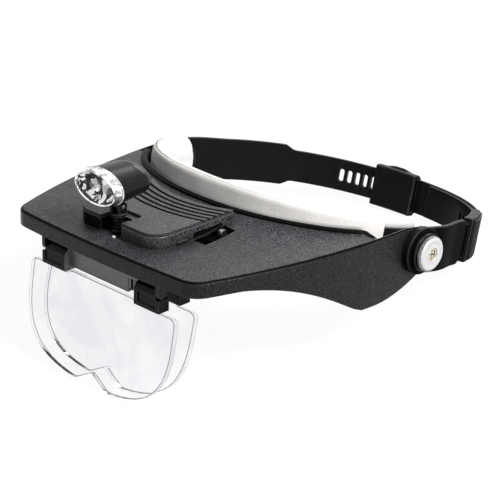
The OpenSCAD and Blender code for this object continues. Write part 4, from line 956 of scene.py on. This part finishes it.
# Even steps along a path, closer together towards its ends
def resample(path, count, ease):
    points = np.array(path)
    run = runAlong(points)
    u = np.linspace(0, 1, count)
    s = ((1 - ease) * u + ease * (0.5 - 0.5 * np.cos(np.pi * u))) * run[-1]
    x, y = np.interp(s, run, points[:, 0]), np.interp(s, run, points[:, 1])
    dx, dy = np.gradient(x), np.gradient(y)
    n = np.hypot(dx, dy)
    return s, run[-1], np.stack([x, y], 1), np.stack([dy / n, -dx / n], 1)


# Slow waves that cross, so that the foam isn't quite even: height, turns along, outwards and upwards, start
def lump(s, q, z):
    waves = sum(h * math.sin(s * a + q * b + z * c + d) for h, a, b, c, d in foamSet["waves"])
    return foamSet["lump"] * waves


def spreadSection(keys, step):
    out = []
    for (a, b), (c, d) in zip(keys, keys[1:] + keys[:1]):
        n = max(1, int(math.hypot(c - a, d - b) / step))
        out += [(a + (c - a) * i / n, b + (d - b) * i / n) for i in range(n)]
    return out


def foamStrip(path, section, taper, count):
    f = foamSet
    run, total, place, normal = resample(path, count, f["ease"])
    middle = (section[0][0] + f["inner"]) / 2
    loops = []
    for s, p, n in zip(run, place, normal):
        squash, pinch = taper(min(s, total - s))
        loop = []
        for d, h in section:
            q = middle + (d - middle) * pinch + lump(s, d, h) * (1 if d > f["insideFrom"] else f["lumpInside"])
            loop.append((*(p + n * q), h * squash))
        loops.append(loop)
    return loft(loops)


def rounded(run, over, least=0.0):
    return math.sqrt(max(least, 1 - (1 - min(1.0, run / over)) ** 2))


def roundEnd(run):
    f = foamSet
    c = rounded(run, f["padRound"], 0.0004)
    return max(f["padEnd"], c), f["padPinch"] + (1 - f["padPinch"]) * c


def shortEnd(run):
    f = foamSet
    return f["wrapEndHigh"] + (1 - f["wrapEndHigh"]) * rounded(run, f["wrapRound"]), 1.0


def mirrored(rising):
    return [(d, -h) for d, h in reversed(rising)]


def makeFoam(f):
    pad, wrap = ([(d, f["half"] - below) for d, below in f[k]] for k in ("padSection", "wrapSection"))
    padLoop = pad + [(f["inner"], 0.0)] + mirrored(pad)
    wrapLoop = mirrored(wrap) + [(bandSet["wrap"], 0.0)] + wrap
    line = bandPath(bandSet)
    wrapLine = [p for p in line if p[1] < f["wrapEnd"]]
    forms = [
        foamStrip(line, spreadSection(padLoop, f["fine"]), roundEnd, 200),
        foamStrip(wrapLine, spreadSection(wrapLoop, f["fine"]), shortEnd, 170),
    ]
    return smooth(pieceOf("foamPad", forms, bandFrame), 50), len(forms[0][1])


foam, padFaces = makeFoam(foamSet)
settle(foam, "foam", "sweatband")
paintFaces(foam, "foamWrap", lambda face: face.index >= padFaces)
say("foam made")

# Lamp head: oval housing, chrome bezel and two-bowl reflector, built about the tilt pin
lampSet = {
    "pin": 14.3, "yaw": -1.0, "fore": 15.4, "up": 12.5, "a": 16.1, "b": 9.45, "length": 29.0, "bezel": 5.4,
    "insetA": 0.5, "insetB": 0.4,
    "mouth": [(4.3, 2.2), (-1.2, 1.9), (-1.2, 1.2), (0.0, 1.2), (0.0, 0.25), (0.25, 0.0)],  # (along, inwards)
    "taper": 0.12, "straight": 0.6, "tail": 0.415, "tailPower": 2.6, "tailUp": 0.9,
    "tailSlim": 0.10, "tailCap": 0.25,
    "grooveAt": 0.80, "grooveWide": 0.012, "grooveDeep": 0.22, "lug": 2.4, "lugHalf": 2.0,
}
bezelProfile = [
    (-1.95, 1.5), (-1.95, 0.45), (-1.85, 0.2), (-1.65, 0.05), (-1.4, 0.0), (-1.15, 0.08), (-1.0, 0.3), (-0.92, 0.7),
    (-0.75, 1.6), (-0.5, 2.9), (-0.3, 4.0), (-0.22, 4.45), (-0.28, 4.55), (-0.6, 4.6), (-0.6, 4.85), (-0.22, 4.9),
    (-0.08, 5.0), (0.0, 5.2), (-0.08, 5.4), (-0.25, 5.48), (-1.9, 5.5), (-1.95, 4.0),
]
bowlSet = {
    "rimA": 2.2, "rimB": 1.8, "rear": 7.6, "front": 3.0, "floor": 1.62, "rings": 26,
    "half": 4.8, "a": 8.9, "b": 7.6, "deep": 5.2, "power": 0.85,  # the two bowls
}
pinPlace = Matrix.Translation((*lampSpot, lampSet["pin"]))
lampPlace = seat @ pinPlace @ Matrix.Rotation(math.radians(lampSet["yaw"]), 4, "Z")
lampAxis = lampPlace @ Matrix.Translation((0, -lampSet["fore"], lampSet["up"]))


def oval(y, a, b, up=0.0):
    return [(a * math.cos(t), y, b * math.sin(t) + up) for t in turns(96)]


def housingWidth(u):
    s = lampSet
    if u < s["straight"]:
        return 1 - s["taper"] * u
    closing = math.sqrt(max(0.0, 1 - ((u - s["straight"]) / s["tail"]) ** s["tailPower"]))
    return (1 - s["taper"] * s["straight"]) * closing


def makeHousing(s):
    a, b = s["a"] - s["insetA"], s["b"] - s["insetB"]
    start, tail, up = s["bezel"] + 0.1, s["length"], s["tailUp"]
    loops = [oval(start + y, a - d, b - d) for y, d in s["mouth"]]
    for u in ((i / 40) ** 0.9 for i in range(1, 40)):
        groove = s["grooveDeep"] * math.exp(-(((u - s["grooveAt"]) / s["grooveWide"]) ** 2))
        w = housingWidth(u)
        slim = 1 - s["tailSlim"] * u * u
        loops.append(oval(start + u * (tail - start), a * w - groove, b * w * slim - groove, up * u * u))
    for t in (math.pi / 2 * k / 9 for k in range(1, 9)):
        w = housingWidth(1.0) * math.cos(t)
        loops.append(oval(tail - s["tailCap"] * (1 - math.sin(t)), a * w, b * w * (1 - s["tailSlim"]), up))
    body = pieceOf("lampHousing", [loft(loops)], lampAxis)
    x, r = s["lugHalf"], s["lug"]
    eye, neck = rod((-x, 0, 0), (x, 0, 0), r), block(-x, x, 0.2 - r, r - 0.2, 0, s["up"] - b + 0.9)
    lug = soften(pieceOf("lampLug", [eye, neck], lampPlace), 0.3)
    return smooth(joinTo(body, lug), 38)


def makeBezel(s):
    a, b = s["a"], s["b"]
    loops = [[((a + d) * math.cos(t), y, (b + d) * math.sin(t)) for d, y in bezelProfile] for t in turns(128)]
    return smooth(pieceOf("lampBezel", [loft(loops, closed=True)], lampAxis), 42)


def makeReflector(lamp, s):
    rim = oval(0, lamp["a"] - s["rimA"], lamp["b"] - s["rimB"])

    def depth(x, z):
        bowls = [1 - ((x - k * s["half"]) / s["a"]) ** 2 - (z / s["b"]) ** 2 for k in (-1, 1)]
        return s["floor"] + s["deep"] * max(0.0, *bowls) ** s["power"]

    def ring(scale, y=None):
        return [(x * scale, depth(x * scale, z * scale) if y is None else y, z * scale) for x, _, z in rim]

    loops = [ring(0.3, s["rear"]), ring(1.0, s["rear"]), ring(1.0, s["front"])]
    loops += [ring(1.0 - 0.98 * i / s["rings"]) for i in range(s["rings"] + 1)]
    return smooth(pieceOf("lampReflector", [loft(loops)], lampAxis), 50)


settle(makeHousing(lampSet), "bodyPlastic", "lamp_housing")
settle(makeBezel(lampSet), "bezelChrome", "lamp_bezel")
settle(makeReflector(lampSet, bowlSet), "mirrorBowl", "lamp_reflector")
say("lamp made")


# Puts the unit on every point, its X axis along the given direction, as real geometry with its finish
def putUnits(tree, a, b, points, along):
    turn = node(tree, "FunctionNodeAlignRotationToVector", {"Vector": along}, axis="X", pivot_axis="Z")
    unit = node(tree, "GeometryNodeObjectInfo", {"Object": a["Unit"]}).outputs["Geometry"]
    sockets = {"Points": points, "Instance": unit, "Rotation": turn.outputs["Rotation"]}
    put = node(tree, "GeometryNodeInstanceOnPoints", sockets)
    real = node(tree, "GeometryNodeRealizeInstances", {"Geometry": put.outputs["Instances"]})
    done = node(tree, "GeometryNodeSetMaterial", {"Geometry": real.outputs["Geometry"], "Material": a["Finish"]})
    feed(tree, b, {"Geometry": done.outputs["Geometry"]})


def spreadTree(name, *sizes):
    ins = [*sizes, ("Unit", "Object"), ("Finish", "Material")]
    return newGroup(name, "GeometryNodeTree", ins, [("Geometry", "Geometry")])


def ringTree():
    tree, a, b = spreadTree("ring", ("Count", "Int"), ("Radius", "Float"))
    circle = node(tree, "GeometryNodeMeshCircle", {"Vertices": a["Count"], "Radius": a["Radius"]})
    putUnits(tree, a, b, circle.outputs["Mesh"], node(tree, "GeometryNodeInputPosition").outputs[0])
    return tree


def rowTree():
    tree, a, b = spreadTree("row", ("Path", "Object"), ("Count", "Int"), ("Start", "Float"), ("Pitch", "Float"))
    path = node(tree, "GeometryNodeObjectInfo", {"Object": a["Path"]}).outputs["Geometry"]
    curve = node(tree, "GeometryNodeMeshToCurve", {"Mesh": path}).outputs["Curve"]
    line = node(tree, "GeometryNodeMeshLine", {"Count": a["Count"]}).outputs["Mesh"]
    run = maths(tree, "MULTIPLY_ADD", node(tree, "GeometryNodeInputIndex").outputs[0], a["Pitch"], a["Start"])
    spot = node(tree, "GeometryNodeSampleCurve", {"Curves": curve, "Length": run}, mode="LENGTH")
    move = node(tree, "GeometryNodeSetPosition", {"Geometry": line, "Position": spot.outputs["Position"]})
    putUnits(tree, a, b, move.outputs["Geometry"], spot.outputs["Tangent"])
    return tree


def spread(name, tree, unit, values):
    obj = addPiece(name, bpy.data.meshes.new(name))
    m = obj.modifiers.new("spread", "NODES")
    m.node_group = tree
    values = {**values, "Unit": unit}
    for item in tree.interface.items_tree:
        if item.in_out == "INPUT":
            m[item.identifier] = values[item.name]
    bake(obj)
    drop(unit)
    return obj


# Thumb knobs: a turned disc with instanced knurls round the rim
knobSet = {
    "radius": 9.25, "inner": 95.3, "outer": 98.5, "hole": 3.52, "ridges": 50, "ridgeDeep": 0.55, "ridgeWide": 0.66,
    "ridgeRoot": 0.5, "ridgeShort": 1.3, "foot": 0.45, "brim": 0.85, "drumEdge": 0.7, "drumMargin": 0.05,
}
knurlTree = ringTree()


def knobProfile(s):
    r, x0, x1, hole = s["radius"] - s["ridgeDeep"], s["inner"], s["outer"], s["hole"]
    return [
        (x0, hole), (x0, r - 0.4), (x0 + 0.25, r - 0.1), (x0 + 0.45, r), (x1 - 0.75, r), (x1 - 0.5, r - 0.08),
        (x1 - 0.22, r - 0.35), (x1 - 0.06, r - 0.75), (x1, r - 1.15), (x1, r - 2.0), (x1 - 0.08, r - 2.2),
        (x1 - 0.08, hole + 0.9), (x1, hole + 0.7), (x1, hole + 0.15), (x1 - 0.15, hole),
    ]


def makeKnob(name, side, s):
    disc = pieceOf(name, [lathe(knobProfile(s), side, 96)], bandFrame)
    w, d, root = s["ridgeWide"] / 2, s["ridgeDeep"], -s["ridgeRoot"]
    long = s["outer"] - s["inner"] - s["ridgeShort"]
    section = [(root, -w), (0.35 * d, -w), (d, -0.4 * w), (d, 0.4 * w), (0.35 * d, w), (root, w)]
    ends = [(0.0, 0.7), (0.25, 1.0), (long - 0.25, 1.0), (long, 0.7)]
    loops = [[(x if x < 0 else x * k, y, z) for x, y in section] for z, k in ends]
    unit = pieceOf("ridge", [loft(loops)], toMetres)
    sizes = {"Count": s["ridges"], "Radius": (s["radius"] - d) / 1000, "Finish": mats["knobMetal"]}
    ring = spread("ridges", knurlTree, unit, sizes)
    start = s["inner"] + s["foot"] if side > 0 else s["brim"] - s["outer"]
    upright = Matrix.Rotation(math.pi / 2, 4, "Y")
    ring.data.transform(bandFrame @ Matrix.Translation((start, 0, 0)) @ upright @ toMillimetres)
    drum = len(disc.data.polygons)
    return smooth(joinTo(disc, ring), 35), drum


# The ground between the knurls, painted dark steel as the shade between them
def drumFace(face, count):
    p, s = bandBack @ face.center, knobSet
    outside = math.hypot(p.y, p.z) > s["radius"] - s["ridgeDeep"] - s["drumMargin"]
    return face.index < count and outside and abs(p.x) < s["outer"] - s["drumEdge"]


for knobName, knobSide, knobNode in (("knobLeft", 1, "knob_left"), ("knobRight", -1, "knob_right")):
    knob, drumCount = makeKnob(knobName, knobSide, knobSet)
    settle(knob, "knobMetal", knobNode)
    # painted shade between the knurls
    paintFaces(knob, "darkSteel", lambda face: drumFace(face, drumCount))
say("knobs made")

# Straps: swept along one line round the back of the head, slots cut through, sleeves over the narrow ends
lineSet = {
    "centre": 13.6, "half": 86.7, "frontDeep": 77.3, "frontPower": 2.3, "rearDeep": 89.4, "rearPower": 2.2,
    "temple": 90.4, "blendFrom": 13, "blendOver": 23, "straight": 38,
}
strapSet = {
    "thick": 2.2, "wide": 24.2, "narrow": 18.6, "start": 3.5, "blend": 5.0, "corner": 0.45, "step": 1.6,
    "gap": 0.3, "pitch": 5.0, "slotWide": 2.8, "slotTall": 7.4,
    "leftPegs": 65.0, "rightPegs": 145.0, "pegPlay": 0.5,
    "disc": [(89.3, 2.56), (89.3, 12.3), (89.5, 12.5), (91.9, 12.5), (92.2, 12.42), (92.42, 12.2), (92.5, 11.9),
             (92.5, 11.3), (92.44, 11.0), (92.44, 10.6), (92.5, 10.3), (92.5, 2.56)],
}
sideSets = {
    "sideStrapLeft": {
        "node": "side_strap_left", "side": 1, "wideLen": 42.0, "whole": 140.0, "slots": 10, "slotFrom": 60.0,
    },
    "sideStrapRight": {
        "node": "side_strap_right", "side": -1, "wideLen": 74.5, "whole": 156.0, "slots": 9, "slotFrom": 110.0,
    },
}
rearSet = {
    "sleeve": 28.0, "leftAt": 50.0, "rightAt": 130.9, "outer": 1.6, "inner": 1.2,
    "sleeveCorner": 1.1, "roomCorner": 0.3, "soft": 0.5, "bridge": 19.6, "over": 2,
    "latch": 1.0, "latchSink": 0.2, "latchInset": 1.2, "latchShort": 4,
    "ledgeFrom": 5, "ledgeTo": 3, "ledgeIn": 0.6, "ledgeThick": 1.3, "ledgeLow": 1, "ledgeHigh": 0.9,
}
outerFaces = {"centre": 12, "slant": 0.6}  # seen from the middle of the head
rowOfSlots = rowTree()


def strapHalf(s):
    def ring(y):
        power, deep = (s["frontPower"], s["frontDeep"]) if y < s["centre"] else (s["rearPower"], s["rearDeep"])
        return s["half"] * max(0.0, 1 - (abs(y - s["centre"]) / deep) ** power) ** (1 / power)

    out = []
    for y in np.linspace(0, s["straight"], s["straight"] + 1):
        c = min(1.0, max(0.0, (y - s["blendFrom"]) / s["blendOver"]))
        k = c * c * (3 - 2 * c)
        out.append((k * ring(y) + (1 - k) * s["temple"], float(y)))
    power, deep = s["rearPower"], s["rearDeep"]
    start = math.degrees(math.asin(min(1.0, ((s["straight"] - s["centre"]) / deep) ** (power / 2))))
    for r in np.radians(np.linspace(start + 0.6, 90, 110)):
        x = s["half"] * max(0.0, math.cos(r)) ** (2 / power)
        out.append((x, s["centre"] + deep * math.sin(r) ** (2 / power)))
    return out


strapPath = strapHalf(lineSet)
strapPath = np.array(strapPath + [(-x, y) for x, y in reversed(strapPath[:-1])])
strapRun = runAlong(strapPath)
strapTotal = strapRun[-1]


# The point at a run along the strap line, moved out by d
def strapPoint(s, d):
    def at(v):
        return np.array([np.interp(v, strapRun, strapPath[:, k]) for k in (0, 1)])

    t = at(min(strapTotal, s + 1.5)) - at(max(0.0, s - 1.5))
    t /= np.hypot(*t)
    return at(s) + d * np.array([t[1], -t[0]])


# A strip from run s0 to s1 at depth d, with rounded corners and, where asked, rounded ends
def stripForm(s0, s1, d, thick, height, corner, ends=0.0):
    count = max(2, int((s1 - s0) / strapSet["step"]))
    stops = [s0 + (s1 - s0) * i / count for i in range(count + 1)]
    if ends:
        stops = [s0, s0 + ends * 0.3, s0 + ends] + stops[1:-1] + [s1 - ends, s1 - ends * 0.3, s1]
    loops = []
    for s in stops:
        h = height(s) if callable(height) else height
        run = min(1.0, min(s - s0, s1 - s) / ends) if ends else 1.0
        shrink = ends * (1 - math.sqrt(max(0.0, 1 - (1 - run) ** 2)))
        a, b = thick / 2 - shrink * 0.8, h / 2 - shrink
        c = min(corner, a * 0.9)
        k = 0.2929 * c  # 1 - cos 45
        quarter = [(a - c, b), (a - k, b - k), (a, b - c), (a, b * 0.5), (a, 0)]
        outer = quarter + [(q, -z) for q, z in quarter[-2::-1]]
        section = outer + [(-q, z) for q, z in reversed(outer)]
        loops.append([(*strapPoint(s, d + q), z) for q, z in section])
    return loft(loops)


# A row of slot-shaped pieces along the strap, used as cutters for the slots and as the pegs that fill them
def slotRow(count, start, pitch, wide, tall, deep, place):
    high, r = (tall - wide) / 2, wide / 2
    outline = arcPoints(0, high, r, 0, 180, 10) + arcPoints(0, -high, r, 180, 360, 10)
    unit = pieceOf("slotUnit", [loft([[(u, y, z) for u, z in outline] for y in (-deep / 2, deep / 2)])], toMetres)
    mesh = bpy.data.meshes.new("strapLine")
    edges = [(i, i + 1) for i in range(len(strapPath) - 1)]
    mesh.from_pydata([(x / 1000, y / 1000, 0.0) for x, y in strapPath], edges, [])
    path = addPiece("strapLine", mesh)
    sizes = {"Path": path, "Count": count, "Start": start / 1000, "Pitch": pitch / 1000}
    row = spread("slotRow", rowOfSlots, unit, {**sizes, "Finish": mats["blackPlastic"]})
    drop(path)
    row.data.transform(place @ toMillimetres)
    if place.determinant() < 0:
        row.data.flip_normals()
    return row


# Small ledge that swells in the middle and fades to both ends
def ledgeForm(s0, s1, d, thick, low, high):
    loops, a, steps = [], thick / 2, 16
    for i in range(steps + 1):
        top = low + (high - low) * min(1.0, 2.2 * min(i, steps - i) / steps + 0.25)
        section = [(-a, low), (-a, top - 0.3), (-a + 0.3, top), (a - 0.3, top), (a, top - 0.3), (a, low)]
        loops.append([(*strapPoint(s0 + (s1 - s0) * i / steps, d + q), z) for q, z in section])
    return loft(loops)


def makeSideStrap(name, s, k):
    def height(run):
        return k["wide"] + (k["narrow"] - k["wide"]) * min(1.0, max(0.0, (run - s["wideLen"]) / k["blend"]))

    place = bandFrame @ Matrix.Scale(-1, 4, (1, 0, 0)) if s["side"] < 0 else bandFrame
    strip = pieceOf(name, [stripForm(k["start"], s["whole"], 0.0, k["thick"], height, k["corner"])], place)
    cutWith(strip, slotRow(s["slots"], s["slotFrom"], k["pitch"], k["slotWide"], k["slotTall"], 8, place))
    joinTo(strip, pieceOf("disc", [lathe(k["disc"])], place))
    return evenNormals(smooth(strip, 30))


def makeRearStrap(k, r):
    gap = k["thick"] + 2 * k["gap"]
    leftStart, leftEnd = r["leftAt"], r["leftAt"] + r["sleeve"]
    rightStart, rightEnd = strapTotal - r["rightAt"] - r["sleeve"], strapTotal - r["rightAt"]
    middle, thick = (r["outer"] - r["inner"]) / 2, gap + r["outer"] + r["inner"]
    tubes = []
    for name, s0, s1 in (("rearStrap", leftStart, leftEnd), ("sleeve", rightStart, rightEnd)):
        outside = stripForm(s0, s1, middle, thick, k["wide"], r["sleeveCorner"], r["soft"])
        inside = stripForm(s0 - 1, s1 + 1, 0.0, gap, k["narrow"] + 2 * k["gap"], r["roomCorner"])
        tubes.append(cutWith(pieceOf(name, [outside], bandFrame), pieceOf("sleeveCut", [inside], bandFrame)))
    face = (gap + r["outer"]) / 2
    latch = face + (r["outer"] + r["latch"]) / 2 - r["latchSink"]
    latchForm = (latch, r["latch"] + 2 * r["latchSink"], k["wide"] - 2 * r["latchInset"], r["soft"], r["soft"])
    ledgeStart, ledgeEnd = rightStart + r["ledgeFrom"], rightEnd - r["ledgeTo"]
    low, high = k["wide"] / 2 - r["ledgeLow"], k["wide"] / 2 + r["ledgeHigh"]
    forms = [
        stripForm(leftEnd - r["over"], rightStart + r["over"], face, r["outer"], r["bridge"], k["corner"]),
        stripForm(leftStart + r["latchShort"], leftEnd, *latchForm),
        stripForm(rightStart, rightEnd - r["latchShort"], *latchForm),
        ledgeForm(ledgeStart, ledgeEnd, latch - r["ledgeIn"], r["ledgeThick"], low, high),
    ]
    wide, tall = k["slotWide"] - k["pegPlay"], k["slotTall"] - k["pegPlay"]
    starts = (k["leftPegs"], strapTotal - k["rightPegs"])
    pegs = [slotRow(2, at, 2 * k["pitch"], wide, tall, gap - 0.1, bandFrame) for at in starts]
    body = joinTo(*tubes, *pegs, pieceOf("bridge", forms, bandFrame))
    return evenNormals(smooth(body, 30))


# Faces turned away from the head, painted darker as the shaded side of the straps
def facesOut(face):
    c, n = inVisor(face), face.normal
    y = c.y - outerFaces["centre"]
    return (n.x * c.x + n.y * y) / math.hypot(c.x, y) > outerFaces["slant"]


straps = [(makeSideStrap(name, s, strapSet), s["node"]) for name, s in sideSets.items()]
straps.append((makeRearStrap(strapSet, rearSet), "rear_strap"))
for strap, strapNode in straps:
    settle(strap, "blackPlastic", strapNode)
    # painted shade on the outer faces
    paintFaces(strap, "shadedOuterBlack", facesOut)

# Washers and cross-slotted bolts of both temples
pivotSet = {
    "washer": [(92.6, 2.56), (92.6, 9.7), (92.85, 9.95), (93.1, 10.0), (94.5, 10.0), (94.9, 9.9), (95.15, 9.6),
               (95.2, 9.2), (95.2, 2.56)],
    "bolt": [(84.2, 0.02), (84.2, 4.6), (84.5, 4.95), (86.5, 5.0), (86.5, 2.5), (97.4, 2.5), (97.65, 2.3),
             (97.7, 1.9), (97.7, 0.02)],
    "cross": (97.0, 98.2), "crossHalf": 1.9, "crossThin": 0.42,
}


def makeWashers(s):
    return smooth(pieceOf("pivotWashers", [lathe(s["washer"], side) for side in (1, -1)], bandFrame), 38)


def makeBolts(s):
    bolts = pieceOf("pivotBolts", [turned(s["bolt"], side) for side in (1, -1)], bandFrame)
    for y, z in ((s["crossHalf"], s["crossThin"]), (s["crossThin"], s["crossHalf"])):
        cuts = [block(*sorted(side * x for x in s["cross"]), -y, y, -z, z) for side in (1, -1)]
        cutWith(bolts, pieceOf("crossCut", cuts, bandFrame))
    return smooth(bolts, 35)


settle(makeWashers(pivotSet), "glossPlastic", "pivot_washers", "headband")
settle(makeBolts(pivotSet), "boltEnd", "pivot_bolts")
say("straps made")

# Softened copies of CAD nodes whose form is whole in the CAD: (piece, node, edge width, material, slot)
mergeGap, flatAngle = 3e-6, 1.0
copySets = [
    ("frontBand", "front_band", 0.4, "blackPlastic", "black_plastic"),
    ("insertLeft", "insert_left", 0.2, "brass", "brass"),
    ("insertRight", "insert_right", 0.2, "brass", "brass"),
    ("batteryTray", "battery_tray", 0.25, "blackPlastic", "black_plastic"),
    ("trayScrews", "tray_screws", 0.25, "steel", "steel"),
    ("batteryContacts", "battery_contacts", 0.08, "steel", "steel"),
    ("batteryFront", "battery_front", 0.4, "cellSkin", "cell"),
    ("batteryMiddle", "battery_middle", 0.4, "cellSkin", "cell"),
    ("batteryRear", "battery_rear", 0.4, "cellSkin", "cell"),
    ("batteryLid", "battery_lid", 0.25, "lidPlastic", "grey_plastic"),
    # the switch body is painted black as the shade in its recess
    ("switchBody", "switch_body", 0.25, "recessShadeBlack", "black_plastic"),
    ("switchSlider", "switch_slider", 0.25, "steel", "steel"),
    ("rearLensHolder", "rear_lens_holder", 0.35, "glossPlastic", "black_plastic"),
    ("holderScrews", "holder_screws", 0.25, "steel", "steel"),
    ("frontLensHolder", "front_lens_holder", 0.35, "glossPlastic", "black_plastic"),
    ("hingePins", "hinge_pins", 0.2, "darkSteel", "steel"),
    ("frontLens", "front_lens_plate", 0.42, "acrylic", "clear_acrylic"),
    ("rearLens", "rear_lens_plate", 0.42, "acrylic", "clear_acrylic"),
    ("lampPost", "lamp_post", 0.3, "glossPlastic", "black_plastic"),
    ("postScrew", "post_screw", 0.25, "steel", "steel"),
    ("tiltPin", "tilt_pin", 0.2, "steel", "steel"),
    ("lampDiodes", "lamp_leds", 0.0, "lensDome", "clear_acrylic"),
    ("ledBoard", "led_board", 0.1, "boardGreen", "board"),
    ("lampWindow", "lamp_window", 0.0, "window", "clear_acrylic"),
]
lensTilts = {"frontLens": 9.0, "rearLens": 12.7}  # degrees of the plates against the visor
barArea = {"right": -27.5, "left": 18.0, "top": -8.4}
edgeSlant = {"least": 0.2, "most": 0.93}


def softCopy(name, nodeName, width):
    mesh = nodes[nodeName].data.copy()
    mesh.name = name
    bm = bmesh.new()
    bm.from_mesh(mesh)
    bmesh.ops.remove_doubles(bm, verts=bm.verts, dist=mergeGap)
    bmesh.ops.dissolve_limit(bm, angle_limit=math.radians(flatAngle), verts=bm.verts, edges=bm.edges)
    bm.normal_update()
    bm.to_mesh(mesh)
    bm.free()
    mesh.materials.clear()
    obj = addPiece(name, mesh)
    return evenNormals(soften(obj, width) if width > 0 else smooth(obj))


def barFace(face):
    c = inVisor(face)
    return barArea["right"] < c.x < barArea["left"] and c.z < barArea["top"]


# Narrow faces and rounded edges of a lens plate, as against its two broad faces; they are painted with dark lines
# of shade
def edgeFace(face, through):
    return edgeSlant["least"] < abs(face.normal.dot(through)) < edgeSlant["most"]


copies = {}
for name, nodeName, width, matName, slotName in copySets:
    copies[name] = softCopy(name, nodeName, width)
    settle(copies[name], matName, nodeName)
# painted light on the bar's lit faces
paintFaces(copies["frontLensHolder"], "litBarPlastic", barFace)
for name, tilt in lensTilts.items():
    through = (seat.to_3x3() @ Matrix.Rotation(math.radians(-tilt), 3, "X") @ Vector((0, 1, 0))).normalized()
    paintFaces(copies[name], "lensLine", lambda face: edgeFace(face, through))
say("softened copies made")
